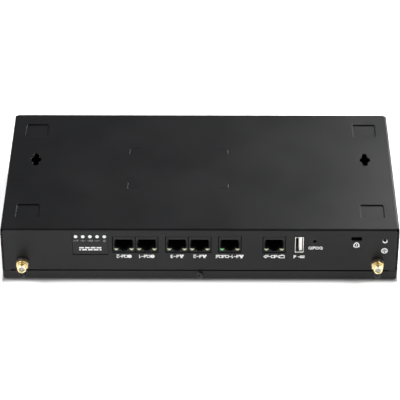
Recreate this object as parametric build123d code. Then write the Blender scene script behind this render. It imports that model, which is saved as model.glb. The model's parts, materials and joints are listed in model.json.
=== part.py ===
from build123d import *
import math
import os

# Desktop firewall appliance: a folded steel tray, a lid over it, and the electronics that they hold.
# Millimetres. +Z is up when the unit stands on its bottom plate, -Y is the port face, +X is right as seen
# by someone facing the ports. The origin is the centre of the bottom plate's outer face.

# case
case_width = 280.0
case_depth = 148.0
case_height = 44.0
sheet = 1.0                      # steel thickness of the tray and the lid
inside_bend = 0.35               # inner radius of the tray's folds
lid_bend = 2.0                   # outer radius of the lid's folds
lid_corner = 1.2                 # outer radius of the lid's welded corners
lip_height = 7.9                 # how far the lid's lips reach down
seam_gap = 0.2                   # fine seam between the lid's lip and the tray's corner posts
groove_height = 0.9              # shadow groove under the lip between the corner posts
post_width = 6.0                 # corner posts at the ends of each wall
lip_clearance = 0.2              # between a lip and the tray's stepped flange
corner_gap = 0.4                 # open slit where two folded walls meet
relief = 1.9                     # square notch where three folds meet
cut_overrun = 2.0                # how far a cutting solid runs past the sheet

# bottom plate
foot_size = 16.6                 # square recesses for stick-on feet
foot_corner = 1.5
foot_depth = 0.8
foot_side_inset = 18.0           # centre of a recess from the side of the case
foot_end_inset = 22.1
keyhole_inset = 19.7             # centre of a keyhole from the side of the case
keyhole_setback = 13.2           # behind the middle of the plate
keyhole_radius = 3.9
keyhole_slot = 3.9
keyhole_length = 16.0
label_width = 72.3               # area between the four stamped corner marks
label_depth = 50.5
label_x = 15.4
label_y = 1.8
mark_length = 7.0
mark_width = 0.8
mark_depth = 0.15

# side vents
vent_count = 16
vent_pitch = 5.0
vent_width = 2.0
vent_height = 14.0
vent_z = 18.0

# lid screws, M3
lid_screw_inset = 13.8           # outer screws from the side of the case
lid_screw_drop = 4.3             # below the top of the lid
screw_radius = 1.5
screw_length = 5.0
screw_clearance = 0.05
head_radius = 2.6
head_height = 1.1
head_dome = 0.45
recess_length = 2.6
recess_width = 0.55
recess_depth = 0.7

# circuit board
board_thickness = 1.6
board_lift = 3.9                 # from the bottom plate's inner face to the board
board_gap = 1.2                  # board edge to the front and back walls
board_margin = 5.2               # board beyond the outermost front connector
spacer_radius = 2.9
spacer_inset = 4.6
spacer_end_inset = 7.8
spacer_floor = 0.2               # closed end of a spacer's thread
spacer_hole_clearance = 0.15
board_screw_length = 5.0

# network sockets, latch side towards the lid
jack_width = 15.9
jack_height = 13.4
jack_length = 21.0
jack_recess = 0.3                # face of a socket behind the panel's outer face
jack_space = 0.2                 # between two sockets in one cut-out
panel_clearance = 0.25           # round anything that shows through a cut-out
cavity_width = 12.1
cavity_height = 7.0
cavity_floor = 2.1
cavity_depth = 14.5
cavity_relief_width = 13.5
cavity_relief_height = 3.6
cavity_relief_depth = 2.2
step_width = 6.6
step_height = 1.4
latch_width = 3.9
latch_height = 1.4
lamp_width = 3.2
lamp_height = 2.0
lamp_depth = 3.0
lamp_offset = 5.4                # centre of a lamp from the socket's middle
lamp_floor = 9.6
lamp_set_back = 0.1
contact_count = 8
contact_pitch = 1.02
contact_width = 0.45
contact_thickness = 0.3
contact_root_rise = 3.15         # springs above the cavity's floor where they leave its back
contact_knee = 4.5               # lowest bend of a spring behind the socket's face
contact_knee_rise = 0.9
contact_tip = 3.3                # end of a spring behind the socket's face
contact_tip_rise = 0.3
jack_post_radius = 1.6
jack_post_offset = 5.7
jack_post_set_back = 9.0
jack_post_tail = 1.0             # posts beyond the board, and into the housing
post_clearance = 0.05
group_gap = 5.2                  # between the port groups along the panel
console_gap = 15.15

# serial bus socket, standing on its long side
usb_width = 5.7
usb_height = 13.1
usb_length = 14.0
usb_wall = 0.3
usb_flare = 0.15
usb_flare_thickness = 0.5
usb_proud = 0.2
usb_gap = 6.7                    # from the console socket
tongue_thickness = 1.9
tongue_height = 11.2
tongue_offset = 0.85             # off the middle of the shell
tongue_length = 9.0
tongue_set_back = 1.0
usb_contact_count = 4
usb_contact_pitch = 2.4
usb_contact_width = 1.0
usb_contact_thickness = 0.2
usb_contact_length = 7.0

# reset button behind a pin hole
reset_gap = 7.85                 # from the serial bus socket
reset_hole_radius = 1.2
reset_rise = 3.6                 # button axis above the board
reset_case_width = 6.0
reset_case_set_back = 1.6        # behind the board's front edge
reset_case_height = 6.6
reset_case_depth = 4.0
plunger_radius = 1.6
plunger_clearance = 0.06
plunger_gap = 0.9                # tip of the plunger to the panel's inner face
plunger_seat = 1.6               # plunger inside its case
reset_travel = 0.3

# lock slot and earth point
lock_inset = 29.85               # centre of the slot from the side of the case
lock_width = 7.6
lock_height = 3.1
lock_corner = 0.8
lock_z = 7.8
earth_inset = 9.9
earth_z = 9.9
earth_thread_radius = 1.25
earth_ring_radius = 1.75
earth_shoulder_radius = 2.8
earth_length = 3.5

# antenna connectors
antenna_inset = 14.4             # axis from the side of the case
antenna_drop = 14.5              # axis below the top of the lid
antenna_radius = 3.175            # thread that the antenna screws on
antenna_nut_radius = 2.95        # thread inside the nut, at its pitch line
antenna_runout = 0.2             # between that thread's end and the nut
antenna_reach = 8.3              # beyond the panel
antenna_hole_clearance = 0.1
antenna_bore_radius = 2.3
antenna_bore_depth = 6.0
antenna_tail_radius = 2.2
antenna_tail_length = 8.0
antenna_hex = 8.0                # across flats, nut and body
antenna_body_length = 2.4
nut_thickness = 2.3
lock_washer_thickness = 0.6
lock_washer_radius = 4.3
flat_washer_thickness = 0.5
flat_washer_radius = 4.6
washer_clearance = 0.06
insulator_set_back = 1.9
antenna_pin_radius = 0.46
antenna_pin_set_back = 0.9

# status window and light pipe
window_width = 24.6
window_height = 18.6
window_z = 12.7
window_gap = 3.4                 # from the last network socket
window_recess = 0.3
window_flange = 1.2
window_flange_thickness = 0.8
status_count = 5
status_pitch = 5.03
status_z = 6.7
status_radius = 1.25
status_clearance = 0.05
status_proud = 0.05
pipe_bar_thickness = 1.2
pipe_bar_drop = 1.7              # bar below the lamp axis
pipe_bar_rise = 2.6              # bar above the lamp axis
pipe_arm_length = 3.6
pipe_arm_width = 1.8
board_notch_clearance = 0.5
chip_lamp_width = 1.6
chip_lamp_depth = 0.9
chip_lamp_height = 0.7
pipe_air = 0.1                   # between a lamp chip and its pipe

# power inlet and switch on the back
inlet_x = -60.0
inlet_width = 9.0
inlet_height = 11.0
inlet_length = 14.2
inlet_rise = 6.5                 # axis above the board
inlet_bore_radius = 3.15
inlet_bore_depth = 9.5
inlet_pin_radius = 1.0
inlet_pin_set_back = 0.8
switch_x = 58.0
switch_z = 20.0
switch_body_width = 19.0
switch_body_height = 12.9
switch_body_depth = 13.0
bezel_width = 21.0
bezel_height = 15.0
bezel_thickness = 1.8
switch_wall = 1.1
rocker_air = 0.2
rocker_floor_air = 1.2
rocker_pivot_depth = 2.0         # pivot behind the case's back face
rocker_axle_radius = 1.0
rocker_axle_length = 0.8
rocker_axle_clearance = 0.05
rocker_tilt = 9.0
rocker_rise = 1.5                # ends of the level rocker above the bezel
rocker_dip = 0.2                 # middle of the level rocker above the bezel
rocker_depth = 2.8               # level rocker below the pivot
tab_width = 4.8
tab_thickness = 0.8
tab_length = 7.0
tab_spacing = 8.0
header_width = 7.5
header_depth = 5.0
header_height = 6.0
header_corner = 0.5
header_y_from_back = 42.0
wire_radius = 0.9
wire_bend = 4.0

# heat sink stack
heatsink_size = 46.0
heatsink_base = 3.0
fin_height = 13.0
fin_thickness = 1.2
fin_count = 11
heatsink_x = -6.0
processor_size = 23.0
processor_height = 1.6
pad_thickness = 0.5
pad_inset = 1.0                  # edge of the pad inside the processor's edge
push_pin_radius = 1.5
push_pin_head = 2.6
push_pin_head_height = 1.5
push_pin_inset = 4.5
push_pin_well_clearance = 0.5
push_pin_tail = 1.5              # beyond the board's underside

# other electronics
transformer_width = 12.5
transformer_depth = 9.0
transformer_height = 5.6
transformer_gap = 2.5
memory_width = 9.0
memory_depth = 13.0
memory_height = 1.1
memory_gap = 3.0                 # between the two chips
network_chip_size = 14.0
network_chip_height = 1.2
network_chip_shift = 6.0         # nearer the ports than the heat sink's middle
storage_width = 8.0
storage_depth = 6.0
storage_height = 1.8
storage_shift = 14.0             # further back than the heat sink's middle
coil_count = 2
coil_size = 10.0
coil_height = 4.2
coil_corner = 2.0
coil_gap = 3.0
coil_offset = 14.0               # first coil from the power inlet
coil_setback = 12.0
capacitor_count = 3
capacitor_radius = 4.0
capacitor_gap = 2.0
capacitor_setback = 19.0
capacitor_height = 11.5
capacitor_edge = 0.5
battery_radius = 10.0
battery_height = 3.2
battery_edge = 0.6
battery_shift = 4.0              # nearer the middle than the status window
battery_setback = 26.0
radio_width = 22.0
radio_length = 30.0
radio_thickness = 0.8
radio_rise = 4.0                 # underside of the radio card above the board
radio_x = -66.0
radio_gap = 4.8                  # from the nearest capacitor
radio_socket_depth = 6.0
radio_socket_height = 5.4
radio_slot_depth = 3.0
radio_slot_air = 0.1
shield_width = 17.0
shield_length = 14.0
shield_height = 2.2
shield_edge = 0.4
shield_gap = 2.0                 # from the card's socket
lead_radius = 0.7
lead_bend = 5.6
lead_socket_offset = 4.0
lead_socket_inset = 3.0          # from the card's far edge
lead_lane = 12.0                 # cross run of the first lead beyond its socket
lead_lane_gap = 8.0

# values that follow from the ones above
half_width = case_width / 2
half_depth = case_depth / 2
front = -half_depth
back = half_depth
front_inner = front + sheet
back_inner = back - sheet
lip_bottom = case_height - lip_height
post_top = lip_bottom - seam_gap
groove_floor = lip_bottom - groove_height
step_depth = sheet + lip_clearance
board_bottom = sheet + board_lift
board_top = board_bottom + board_thickness
board_front = front_inner + board_gap
board_back = back_inner - board_gap
jack_face = front + jack_recess
jack_back = jack_face + jack_length
jack_pitch = jack_width + jack_space
lan2_x = 0.0
lan3_x = lan2_x + jack_pitch
wan1_x = lan3_x + jack_pitch + group_gap
wan2_x = wan1_x + jack_pitch
lan1_x = lan2_x - jack_pitch - group_gap + jack_space
console_x = lan1_x - jack_pitch - console_gap
jack_places = {
    "console": console_x,
    "lan1": lan1_x,
    "lan2": lan2_x,
    "lan3": lan3_x,
    "wan1": wan1_x,
    "wan2": wan2_x,
}
jack_cutouts = [
    (console_x, console_x),
    (lan1_x, lan1_x),
    (lan2_x, lan3_x),
    (wan1_x, wan2_x),
]
usb_x = console_x - jack_width / 2 - usb_gap - usb_flare - usb_width / 2
usb_z = board_top + usb_height / 2
usb_face = front - usb_proud
reset_x = usb_x - usb_width / 2 - usb_flare - reset_gap
reset_z = board_top + reset_rise
window_x = wan2_x + jack_width / 2 + window_gap + window_width / 2
lock_x = -(half_width - lock_inset)
earth_x = -(half_width - earth_inset)
antenna_x = half_width - antenna_inset
antenna_z = case_height - antenna_drop
antenna_places = {"left": -antenna_x, "right": antenna_x}
lid_screw_x = half_width - lid_screw_inset
lid_screw_z = case_height - lid_screw_drop
board_left = reset_x - reset_case_width / 2 - spacer_inset - board_margin
board_right = window_x + window_width / 2 + board_margin
status_places = [window_x + (i - (status_count - 1) / 2) * status_pitch for i in range(status_count)]
pipe_back = front_inner + window_flange_thickness + pipe_bar_thickness
spacer_places = [
    (x, y)
    for x in (board_left + spacer_inset, board_right - spacer_inset)
    for y in (board_front + spacer_end_inset, 0.0, board_back - spacer_end_inset)
]
transformer_back = jack_back + transformer_gap + transformer_depth
coil_front = board_back - coil_setback - coil_size / 2
heatsink_y = (transformer_back + coil_front) / 2
capacitor_pitch = 2 * capacitor_radius + capacitor_gap
processor_top = board_top + processor_height
heatsink_bottom = processor_top + pad_thickness
push_pin_reach = heatsink_size / 2 - push_pin_inset
push_pin_places = [(heatsink_x + s * push_pin_reach, heatsink_y - s * push_pin_reach) for s in (-1, 1)]
memory_x = heatsink_x + heatsink_size / 2 + memory_width
capacitor_front = board_back - capacitor_setback - (capacitor_count - 1) * capacitor_pitch - capacitor_radius
radio_y = capacitor_front - radio_gap - radio_length
radio_bottom = board_top + radio_rise
radio_top = radio_bottom + radio_thickness
reset_case_front = board_front + reset_case_set_back
plunger_tip = front_inner + plunger_gap
plunger_back = reset_case_front + plunger_seat
washer_face = front - flat_washer_thickness
lock_washer_face = washer_face - lock_washer_thickness
nut_face = lock_washer_face - nut_thickness
antenna_tip = front - antenna_reach
antenna_body_back = front_inner + antenna_body_length
antenna_tail = antenna_body_back + antenna_tail_length
inlet_face = back - jack_recess
inlet_z = board_top + inlet_rise
switch_face = back + bezel_thickness
pivot_y = back - rocker_pivot_depth
opening_width = switch_body_width - 2 * switch_wall
opening_height = switch_body_height - 2 * switch_wall
rocker_radius = opening_width / 2 - rocker_air
rocker_bottom = pivot_y - rocker_depth
opening_floor = rocker_bottom - rocker_radius * math.sin(math.radians(rocker_tilt)) - rocker_floor_air
tab_front = back - switch_body_depth - tab_length
tab_places = [switch_x - tab_spacing / 2, switch_x + tab_spacing / 2]
header_y = back - header_y_from_back
header_top = board_top + header_height


def block(x_range, y_range, z_range):
    ranges = (x_range, y_range, z_range)
    size = [high - low for low, high in ranges]
    centre = [(high + low) / 2 for low, high in ranges]
    return Pos(*centre) * Box(*size)


def around(middle, size):
    return middle - size / 2, middle + size / 2


def rod_y(x, z, radius, y_from, y_to):
    return Pos(x, (y_from + y_to) / 2, z) * Rot(90, 0, 0) * Cylinder(radius, y_to - y_from)


def rod_z(x, y, radius, z_from, z_to):
    return Pos(x, y, (z_from + z_to) / 2) * Cylinder(radius, z_to - z_from)


def hex_y(x, z, across_flats, y_from, y_to):
    outline = RegularPolygon(across_flats / 2, 6, major_radius=False)
    return Pos(x, y_to, z) * Rot(90, 0, 0) * extrude(outline, y_to - y_from)


def rounded_z(x, y, width, depth, corner, z_from, z_to):
    return Pos(x, y, z_from) * extrude(RectangleRounded(width, depth, corner), z_to - z_from)


def save(node, *pieces):
    solids = [solid for piece in pieces for solid in piece.solids()]
    shape = solids[0] if len(solids) == 1 else Compound(children=solids)
    shape.label = node
    export_step(shape, f"parts/{node}.step")


# enclosure

def folded_shell():
    shell = block((-half_width, half_width), (front, back), (0, post_top))
    shell = fillet(shell.edges().group_by(Axis.Z)[0], sheet + inside_bend)
    hollow = block(
        (-half_width + sheet, half_width - sheet), (front_inner, back_inner), (sheet, post_top + cut_overrun)
    )
    return shell - hollow


def stepped_flange(length):
    # One wall's step and flange, for a wall along X whose outer face is at y = 0.
    web = block((-length / 2, length / 2), (sheet, step_depth + sheet), (groove_floor - sheet, groove_floor))
    rise_z = (groove_floor - sheet, case_height - sheet)
    return web + block((-length / 2, length / 2), (step_depth, step_depth + sheet), rise_z)


def wall_groove(length):
    return block((-length / 2, length / 2), (-cut_overrun, sheet), (groove_floor, post_top + cut_overrun))


def corner_cuts(side_x, side_y):
    slit_x = sorted((side_x * (half_width - sheet - corner_gap), side_x * (half_width - sheet)))
    slit_y = sorted((side_y * (half_depth - sheet), side_y * (half_depth + cut_overrun)))
    notch_x = sorted((side_x * (half_width - relief), side_x * (half_width + cut_overrun)))
    notch_y = sorted((side_y * (half_depth - relief), side_y * (half_depth + cut_overrun)))
    slit = block(slit_x, slit_y, (relief / 2, post_top + cut_overrun))
    return slit + block(notch_x, notch_y, (-cut_overrun, relief))


def foot_places():
    x = half_width - foot_side_inset
    y = half_depth - foot_end_inset
    return [(side_x * x, side_y * y) for side_x in (-1, 1) for side_y in (-1, 1)]


def keyhole(x):
    circle = rod_z(x, keyhole_setback, keyhole_radius, -cut_overrun, sheet + cut_overrun)
    slot = extrude(SlotOverall(keyhole_length, keyhole_slot, rotation=90), sheet + 2 * cut_overrun)
    return circle + Pos(x, keyhole_setback, -cut_overrun) * slot


def label_marks():
    marks = Part()
    for side_x in (-1, 1):
        for side_y in (-1, 1):
            x = label_x + side_x * label_width / 2
            y = label_y + side_y * label_depth / 2
            along = sorted((x, x - side_x * mark_length))
            across = sorted((y, y - side_y * mark_length))
            marks += block(along, around(y, mark_width), (-cut_overrun, mark_depth))
            marks += block(around(x, mark_width), across, (-cut_overrun, mark_depth))
    return marks


def side_vents():
    vents = Part()
    slot = Rot(0, 90, 0) * extrude(SlotOverall(vent_height, vent_width), case_width + 2 * cut_overrun)
    for i in range(vent_count):
        y = (i - (vent_count - 1) / 2) * vent_pitch
        vents += Pos(-half_width - cut_overrun, y, vent_z) * slot
    return vents


def front_cut(x_range, z_range):
    return block(x_range, (front - cut_overrun, front_inner + cut_overrun), z_range)


def front_hole(x, z, radius):
    return rod_y(x, z, radius, front - cut_overrun, front_inner + cut_overrun)


def port_cutouts():
    cuts = Part()
    jack_z = (board_top - panel_clearance, board_top + jack_height + panel_clearance)
    for first_x, last_x in jack_cutouts:
        reach = jack_width / 2 + panel_clearance
        cuts += front_cut((first_x - reach, last_x + reach), jack_z)
    flare_width = usb_width + 2 * usb_flare + 2 * panel_clearance
    flare_height = usb_height + 2 * usb_flare + 2 * panel_clearance
    cuts += front_cut(around(usb_x, flare_width), around(usb_z, flare_height))
    window_cut = window_width + 2 * panel_clearance, window_height + 2 * panel_clearance
    cuts += front_cut(around(window_x, window_cut[0]), around(window_z, window_cut[1]))
    cuts += front_hole(reset_x, reset_z, reset_hole_radius)
    cuts += front_hole(earth_x, earth_z, earth_ring_radius)
    lock = extrude(RectangleRounded(lock_width, lock_height, lock_corner), sheet + 2 * cut_overrun)
    cuts += Pos(lock_x, front_inner + cut_overrun, lock_z) * Rot(90, 0, 0) * lock
    for x in antenna_places.values():
        cuts += front_hole(x, antenna_z, antenna_nut_radius + antenna_hole_clearance)
    return cuts


def back_cutouts():
    y_range = (back_inner - cut_overrun, back + cut_overrun)
    inlet_size = inlet_width + 2 * panel_clearance, inlet_height + 2 * panel_clearance
    cuts = block(around(inlet_x, inlet_size[0]), y_range, around(board_top + inlet_height / 2, inlet_size[1]))
    switch_size = switch_body_width + panel_clearance, switch_body_height + panel_clearance
    return cuts + block(around(switch_x, switch_size[0]), y_range, around(switch_z, switch_size[1]))


def lid_screw_places():
    xs = (-lid_screw_x, 0.0, lid_screw_x)
    return [(x, side) for x in xs for side in (-1, 1)]


def lid_screw_holes(radius):
    holes = Part()
    for x, side in lid_screw_places():
        outer = half_depth + cut_overrun
        inner = half_depth - step_depth - sheet - cut_overrun
        holes += rod_y(x, lid_screw_z, radius, *sorted((side * outer, side * inner)))
    return holes


def base_tray():
    tray = folded_shell()
    long_groove = case_width - 2 * post_width
    short_groove = case_depth - 2 * post_width
    for turn, length, reach in ((0, long_groove, half_depth), (180, long_groove, half_depth),
                                (90, short_groove, half_width), (270, short_groove, half_width)):
        place = Rot(0, 0, turn) * Pos(0, -reach, 0)
        tray = tray - place * wall_groove(length) + place * stepped_flange(length)
    for side_x in (-1, 1):
        for side_y in (-1, 1):
            tray -= corner_cuts(side_x, side_y)
    for x, y in foot_places():
        outer = foot_size + 2 * sheet
        tray += rounded_z(x, y, outer, outer, foot_corner + sheet, sheet / 2, foot_depth + sheet)
        tray -= rounded_z(x, y, foot_size, foot_size, foot_corner, -cut_overrun, foot_depth)
    for side_x in (-1, 1):
        tray -= keyhole(side_x * (half_width - keyhole_inset))
    tray = tray - label_marks() - side_vents() - port_cutouts() - back_cutouts()
    return tray - lid_screw_holes(screw_radius)


def top_lid():
    lid = block((-half_width, half_width), (front, back), (lip_bottom, case_height))
    lid = fillet(lid.edges().filter_by(Axis.Z), lid_corner)
    lid = fillet(lid.faces().sort_by(Axis.Z)[-1].edges(), lid_bend)
    hollow = block(
        (-half_width + sheet, half_width - sheet),
        (front_inner, back_inner),
        (lip_bottom - cut_overrun, case_height - sheet),
    )
    return lid - hollow - lid_screw_holes(screw_radius + lip_clearance)


def pan_screw(length):
    # Points down -Z from a head that sits on z = 0.
    head = fillet(rod_z(0, 0, head_radius, 0, head_height).edges().group_by(Axis.Z)[-1], head_dome)
    recess_z = (head_height - recess_depth, head_height + cut_overrun)
    half_slot = recess_length / 2
    half_cut = recess_width / 2
    cross = block((-half_slot, half_slot), (-half_cut, half_cut), recess_z)
    cross += block((-half_cut, half_cut), (-half_slot, half_slot), recess_z)
    return head + rod_z(0, 0, screw_radius - screw_clearance, -length, head_height / 4) - cross


def lid_screws():
    screw = pan_screw(screw_length)
    screws = []
    for x, side in lid_screw_places():
        turn = Rot(-90, 0, 0) if side > 0 else Rot(90, 0, 0)
        screws.append(Pos(x, side * half_depth, lid_screw_z) * turn * screw)
    return screws


def earth_insert():
    ring = rod_y(earth_x, earth_z, earth_ring_radius, front, front_inner)
    shoulder = rod_y(earth_x, earth_z, earth_shoulder_radius, front_inner, front + earth_length)
    thread_y = (front - cut_overrun, front + earth_length + cut_overrun)
    return ring + shoulder - rod_y(earth_x, earth_z, earth_thread_radius, *thread_y)


def status_window():
    pane_y = (front + window_recess, front_inner)
    flange_y = (front_inner, front_inner + window_flange_thickness)
    pane = block(around(window_x, window_width), pane_y, around(window_z, window_height))
    flange_width = window_width + 2 * window_flange
    flange_height = window_height + 2 * window_flange
    pane += block(around(window_x, flange_width), flange_y, around(window_z, flange_height))
    for x in status_places:
        pane -= rod_y(x, status_z, status_radius + status_clearance, front, pipe_back)
    return pane


def light_pipe():
    bar_front = front_inner + window_flange_thickness
    arm_back = pipe_back + pipe_arm_length
    arm_z = (board_top + chip_lamp_height + pipe_air, status_z + pipe_bar_rise)
    bar_x = (status_places[0] - status_pitch / 2, status_places[-1] + status_pitch / 2)
    pipe = block(bar_x, (bar_front, pipe_back), (status_z - pipe_bar_drop, status_z + pipe_bar_rise))
    nose_tip = front + window_recess - status_proud
    for x in status_places:
        pipe += rod_y(x, status_z, status_radius, nose_tip, bar_front)
        pipe += block(around(x, pipe_arm_width), (pipe_back, arm_back), arm_z)
    return pipe


# circuit board and what stands on it

def jack_posts(x, radius, z_range):
    y = jack_face + jack_post_set_back
    posts = rod_z(x - jack_post_offset, y, radius, *z_range)
    return posts + rod_z(x + jack_post_offset, y, radius, *z_range)


def main_board():
    board = block((board_left, board_right), (board_front, board_back), (board_bottom, board_top))
    bore_z = (board_bottom - cut_overrun, board_top + cut_overrun)
    notch_x = (
        status_places[0] - status_pitch / 2 - board_notch_clearance,
        status_places[-1] + status_pitch / 2 + board_notch_clearance,
    )
    board -= block(notch_x, (board_front - cut_overrun, pipe_back + board_notch_clearance), bore_z)
    for x, y in spacer_places:
        board -= rod_z(x, y, screw_radius + spacer_hole_clearance, *bore_z)
    for x, y in push_pin_places:
        board -= rod_z(x, y, push_pin_radius + post_clearance, *bore_z)
    for x in jack_places.values():
        board -= jack_posts(x, jack_post_radius + post_clearance, bore_z)
    return board


def board_spacers():
    spacers = []
    for x, y in spacer_places:
        post = Pos(x, y, sheet) * extrude(RegularPolygon(spacer_radius, 6), board_lift)
        spacers.append(post - rod_z(x, y, screw_radius, sheet + spacer_floor, board_bottom + cut_overrun))
    return spacers


def board_screws():
    screw = pan_screw(board_screw_length)
    return [Pos(x, y, board_top) * screw for x, y in spacer_places]


def jack_housing(x):
    floor = board_top
    body = block(around(x, jack_width), (jack_face, jack_back), (floor, floor + jack_height))
    main_top = floor + cavity_floor + cavity_height
    step_top = main_top + step_height
    cavity_y = (jack_face - cut_overrun, jack_face + cavity_depth)
    body -= block(around(x, cavity_width), cavity_y, (floor + cavity_floor, main_top))
    body -= block(around(x, step_width), cavity_y, (main_top - cut_overrun, step_top))
    body -= block(around(x, latch_width), cavity_y, (step_top - cut_overrun, step_top + latch_height))
    relief_y = (jack_face - cut_overrun, jack_face + cavity_relief_depth)
    relief_z = around(floor + cavity_floor + cavity_height / 2, cavity_relief_height)
    body -= block(around(x, cavity_relief_width), relief_y, relief_z)
    for side in (-1, 1):
        body -= lamp_block(x + side * lamp_offset, jack_face - cut_overrun)
    return body + jack_posts(x, jack_post_radius, (board_bottom - jack_post_tail, floor + jack_post_tail))


def lamp_block(x, y_from):
    z_from = board_top + lamp_floor
    return block(around(x, lamp_width), (y_from, jack_face + lamp_depth), (z_from, z_from + lamp_height))


def jack_lamps(side):
    return [lamp_block(x + side * lamp_offset, jack_face + lamp_set_back) for x in jack_places.values()]


def jack_contacts(x):
    # Each spring leaves the back of the cavity, slopes down towards the mouth and ends just above the floor.
    floor = board_top + cavity_floor
    upper = [
        (jack_face + cavity_depth, floor + contact_root_rise),
        (jack_face + contact_knee, floor + contact_knee_rise),
        (jack_face + contact_tip, floor + contact_tip_rise),
    ]
    lower = [(y, z - contact_thickness) for y, z in reversed(upper[:-1])]
    outline = Plane.YZ * make_face(Polyline(*upper, *lower, close=True))
    spring = extrude(outline, contact_width / 2, both=True)
    places = [(i - (contact_count - 1) / 2) * contact_pitch for i in range(contact_count)]
    return [Pos(x + offset, 0, 0) * spring for offset in places]


def usb_shell():
    y_range = (usb_face, usb_face + usb_length)
    shell = block(around(usb_x, usb_width), y_range, around(usb_z, usb_height))
    flare_y = (usb_face, usb_face + usb_flare_thickness)
    shell += block(
        around(usb_x, usb_width + 2 * usb_flare), flare_y, around(usb_z, usb_height + 2 * usb_flare)
    )
    inside = usb_width - 2 * usb_wall, usb_height - 2 * usb_wall
    bore_y = (usb_face - cut_overrun, usb_face + usb_length - usb_wall)
    return shell - block(around(usb_x, inside[0]), bore_y, around(usb_z, inside[1]))


def usb_tongue():
    x = usb_x - tongue_offset
    back_y = usb_face + usb_length - usb_wall
    base_front = usb_face + tongue_set_back + tongue_length
    inside = usb_width - 2 * usb_wall, usb_height - 2 * usb_wall
    base = block(around(usb_x, inside[0]), (base_front, back_y), around(usb_z, inside[1]))
    blade_y = (usb_face + tongue_set_back, base_front)
    return base + block(around(x, tongue_thickness), blade_y, around(usb_z, tongue_height))


def usb_contacts():
    x_from = usb_x - tongue_offset + tongue_thickness / 2
    y_from = usb_face + tongue_set_back + tongue_length - usb_contact_length
    strips = []
    for i in range(usb_contact_count):
        z = usb_z + (i - (usb_contact_count - 1) / 2) * usb_contact_pitch
        strips.append(block(
            (x_from, x_from + usb_contact_thickness),
            (y_from, y_from + usb_contact_length),
            around(z, usb_contact_width),
        ))
    return strips


def reset_case():
    case = block(
        around(reset_x, reset_case_width),
        (reset_case_front, reset_case_front + reset_case_depth),
        (board_top, board_top + reset_case_height),
    )
    bore_end = plunger_back + reset_travel + plunger_clearance
    bore_radius = plunger_radius + plunger_clearance
    return case - rod_y(reset_x, reset_z, bore_radius, reset_case_front - cut_overrun, bore_end)


def reset_plunger():
    plunger = rod_y(reset_x, reset_z, plunger_radius, plunger_tip, plunger_back)
    return fillet(plunger.edges().sort_by(Axis.Y)[0], plunger_radius / 4)


def status_lamps():
    y_from = pipe_back + board_notch_clearance + chip_lamp_depth
    z_range = (board_top, board_top + chip_lamp_height)
    return [
        block(around(x, chip_lamp_width), (y_from, y_from + chip_lamp_depth), z_range) for x in status_places
    ]


# antenna connectors

def antenna_barrel(x):
    barrel = rod_y(x, antenna_z, antenna_radius, antenna_tip, nut_face - antenna_runout)
    barrel += rod_y(x, antenna_z, antenna_nut_radius, nut_face - antenna_runout, antenna_body_back)
    barrel += hex_y(x, antenna_z, antenna_hex, front_inner, antenna_body_back)
    barrel += rod_y(x, antenna_z, antenna_tail_radius, antenna_body_back, antenna_tail)
    bore_y = (antenna_tip - cut_overrun, antenna_tip + antenna_bore_depth)
    return barrel - rod_y(x, antenna_z, antenna_bore_radius, *bore_y)


def antenna_ring(outer, y_from, y_to):
    hole = antenna_nut_radius + washer_clearance
    return [
        rod_y(x, antenna_z, outer, y_from, y_to)
        - rod_y(x, antenna_z, hole, y_from - cut_overrun, y_to + cut_overrun)
        for x in antenna_places.values()
    ]


def antenna_nuts():
    hole = antenna_nut_radius + washer_clearance
    nuts = []
    for x in antenna_places.values():
        nut = hex_y(x, antenna_z, antenna_hex, nut_face, lock_washer_face)
        bore_y = (nut_face - cut_overrun, lock_washer_face + cut_overrun)
        nuts.append(nut - rod_y(x, antenna_z, hole, *bore_y))
    return nuts


def antenna_insulators():
    y_range = (antenna_tip + insulator_set_back, antenna_tip + antenna_bore_depth)
    return [
        rod_y(x, antenna_z, antenna_bore_radius, *y_range) - rod_y(x, antenna_z, antenna_pin_radius, *y_range)
        for x in antenna_places.values()
    ]


def antenna_pins():
    y_range = (antenna_tip + antenna_pin_set_back, antenna_tip + antenna_bore_depth)
    return [rod_y(x, antenna_z, antenna_pin_radius, *y_range) for x in antenna_places.values()]


def lead_tube(points, bend, radius):
    route = FilletPolyline(*points, radius=bend)
    return sweep(Plane(route @ 0, z_dir=route % 0) * Circle(radius), path=route)


def antenna_lead(side):
    # A thin coaxial lead from a connector's tail across the case and down onto the radio card.
    sign = -1 if side == "left" else 1
    x = antenna_places[side]
    socket_x = radio_x + sign * lead_socket_offset
    socket_y = radio_y + radio_length - lead_socket_inset
    cross_y = socket_y + lead_lane if side == "left" else socket_y + lead_lane + lead_lane_gap
    points = [
        (x, antenna_tail, antenna_z),
        (x, cross_y, antenna_z),
        (socket_x, cross_y, antenna_z),
        (socket_x, socket_y, antenna_z),
        (socket_x, socket_y, radio_top),
    ]
    return lead_tube(points, lead_bend, lead_radius)


# radio card

def radio_card():
    return block(around(radio_x, radio_width), (radio_y, radio_y + radio_length), (radio_bottom, radio_top))


def radio_shield():
    y_from = radio_y + radio_slot_depth + shield_gap
    shield_z = (radio_top, radio_top + shield_height)
    shield = block(around(radio_x, shield_width), (y_from, y_from + shield_length), shield_z)
    return fillet(shield.edges().group_by(Axis.Z)[-1], shield_edge)


def radio_socket():
    y_range = (radio_y + radio_slot_depth - radio_socket_depth, radio_y + radio_slot_depth)
    socket = block(around(radio_x, radio_width), y_range, (board_top, board_top + radio_socket_height))
    slot_z = (radio_bottom - radio_slot_air, radio_top + radio_slot_air)
    slot_x = around(radio_x, radio_width + 2 * cut_overrun)
    return socket - block(slot_x, (radio_y, radio_y + radio_socket_depth), slot_z)


def radio_post():
    y = radio_y + radio_length - spacer_radius / 2
    return Pos(radio_x, y, board_top) * extrude(RegularPolygon(spacer_radius, 6), radio_rise)


# heat sink stack

def processor():
    return on_board(heatsink_x, heatsink_y, processor_size, processor_size, processor_height)


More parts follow.
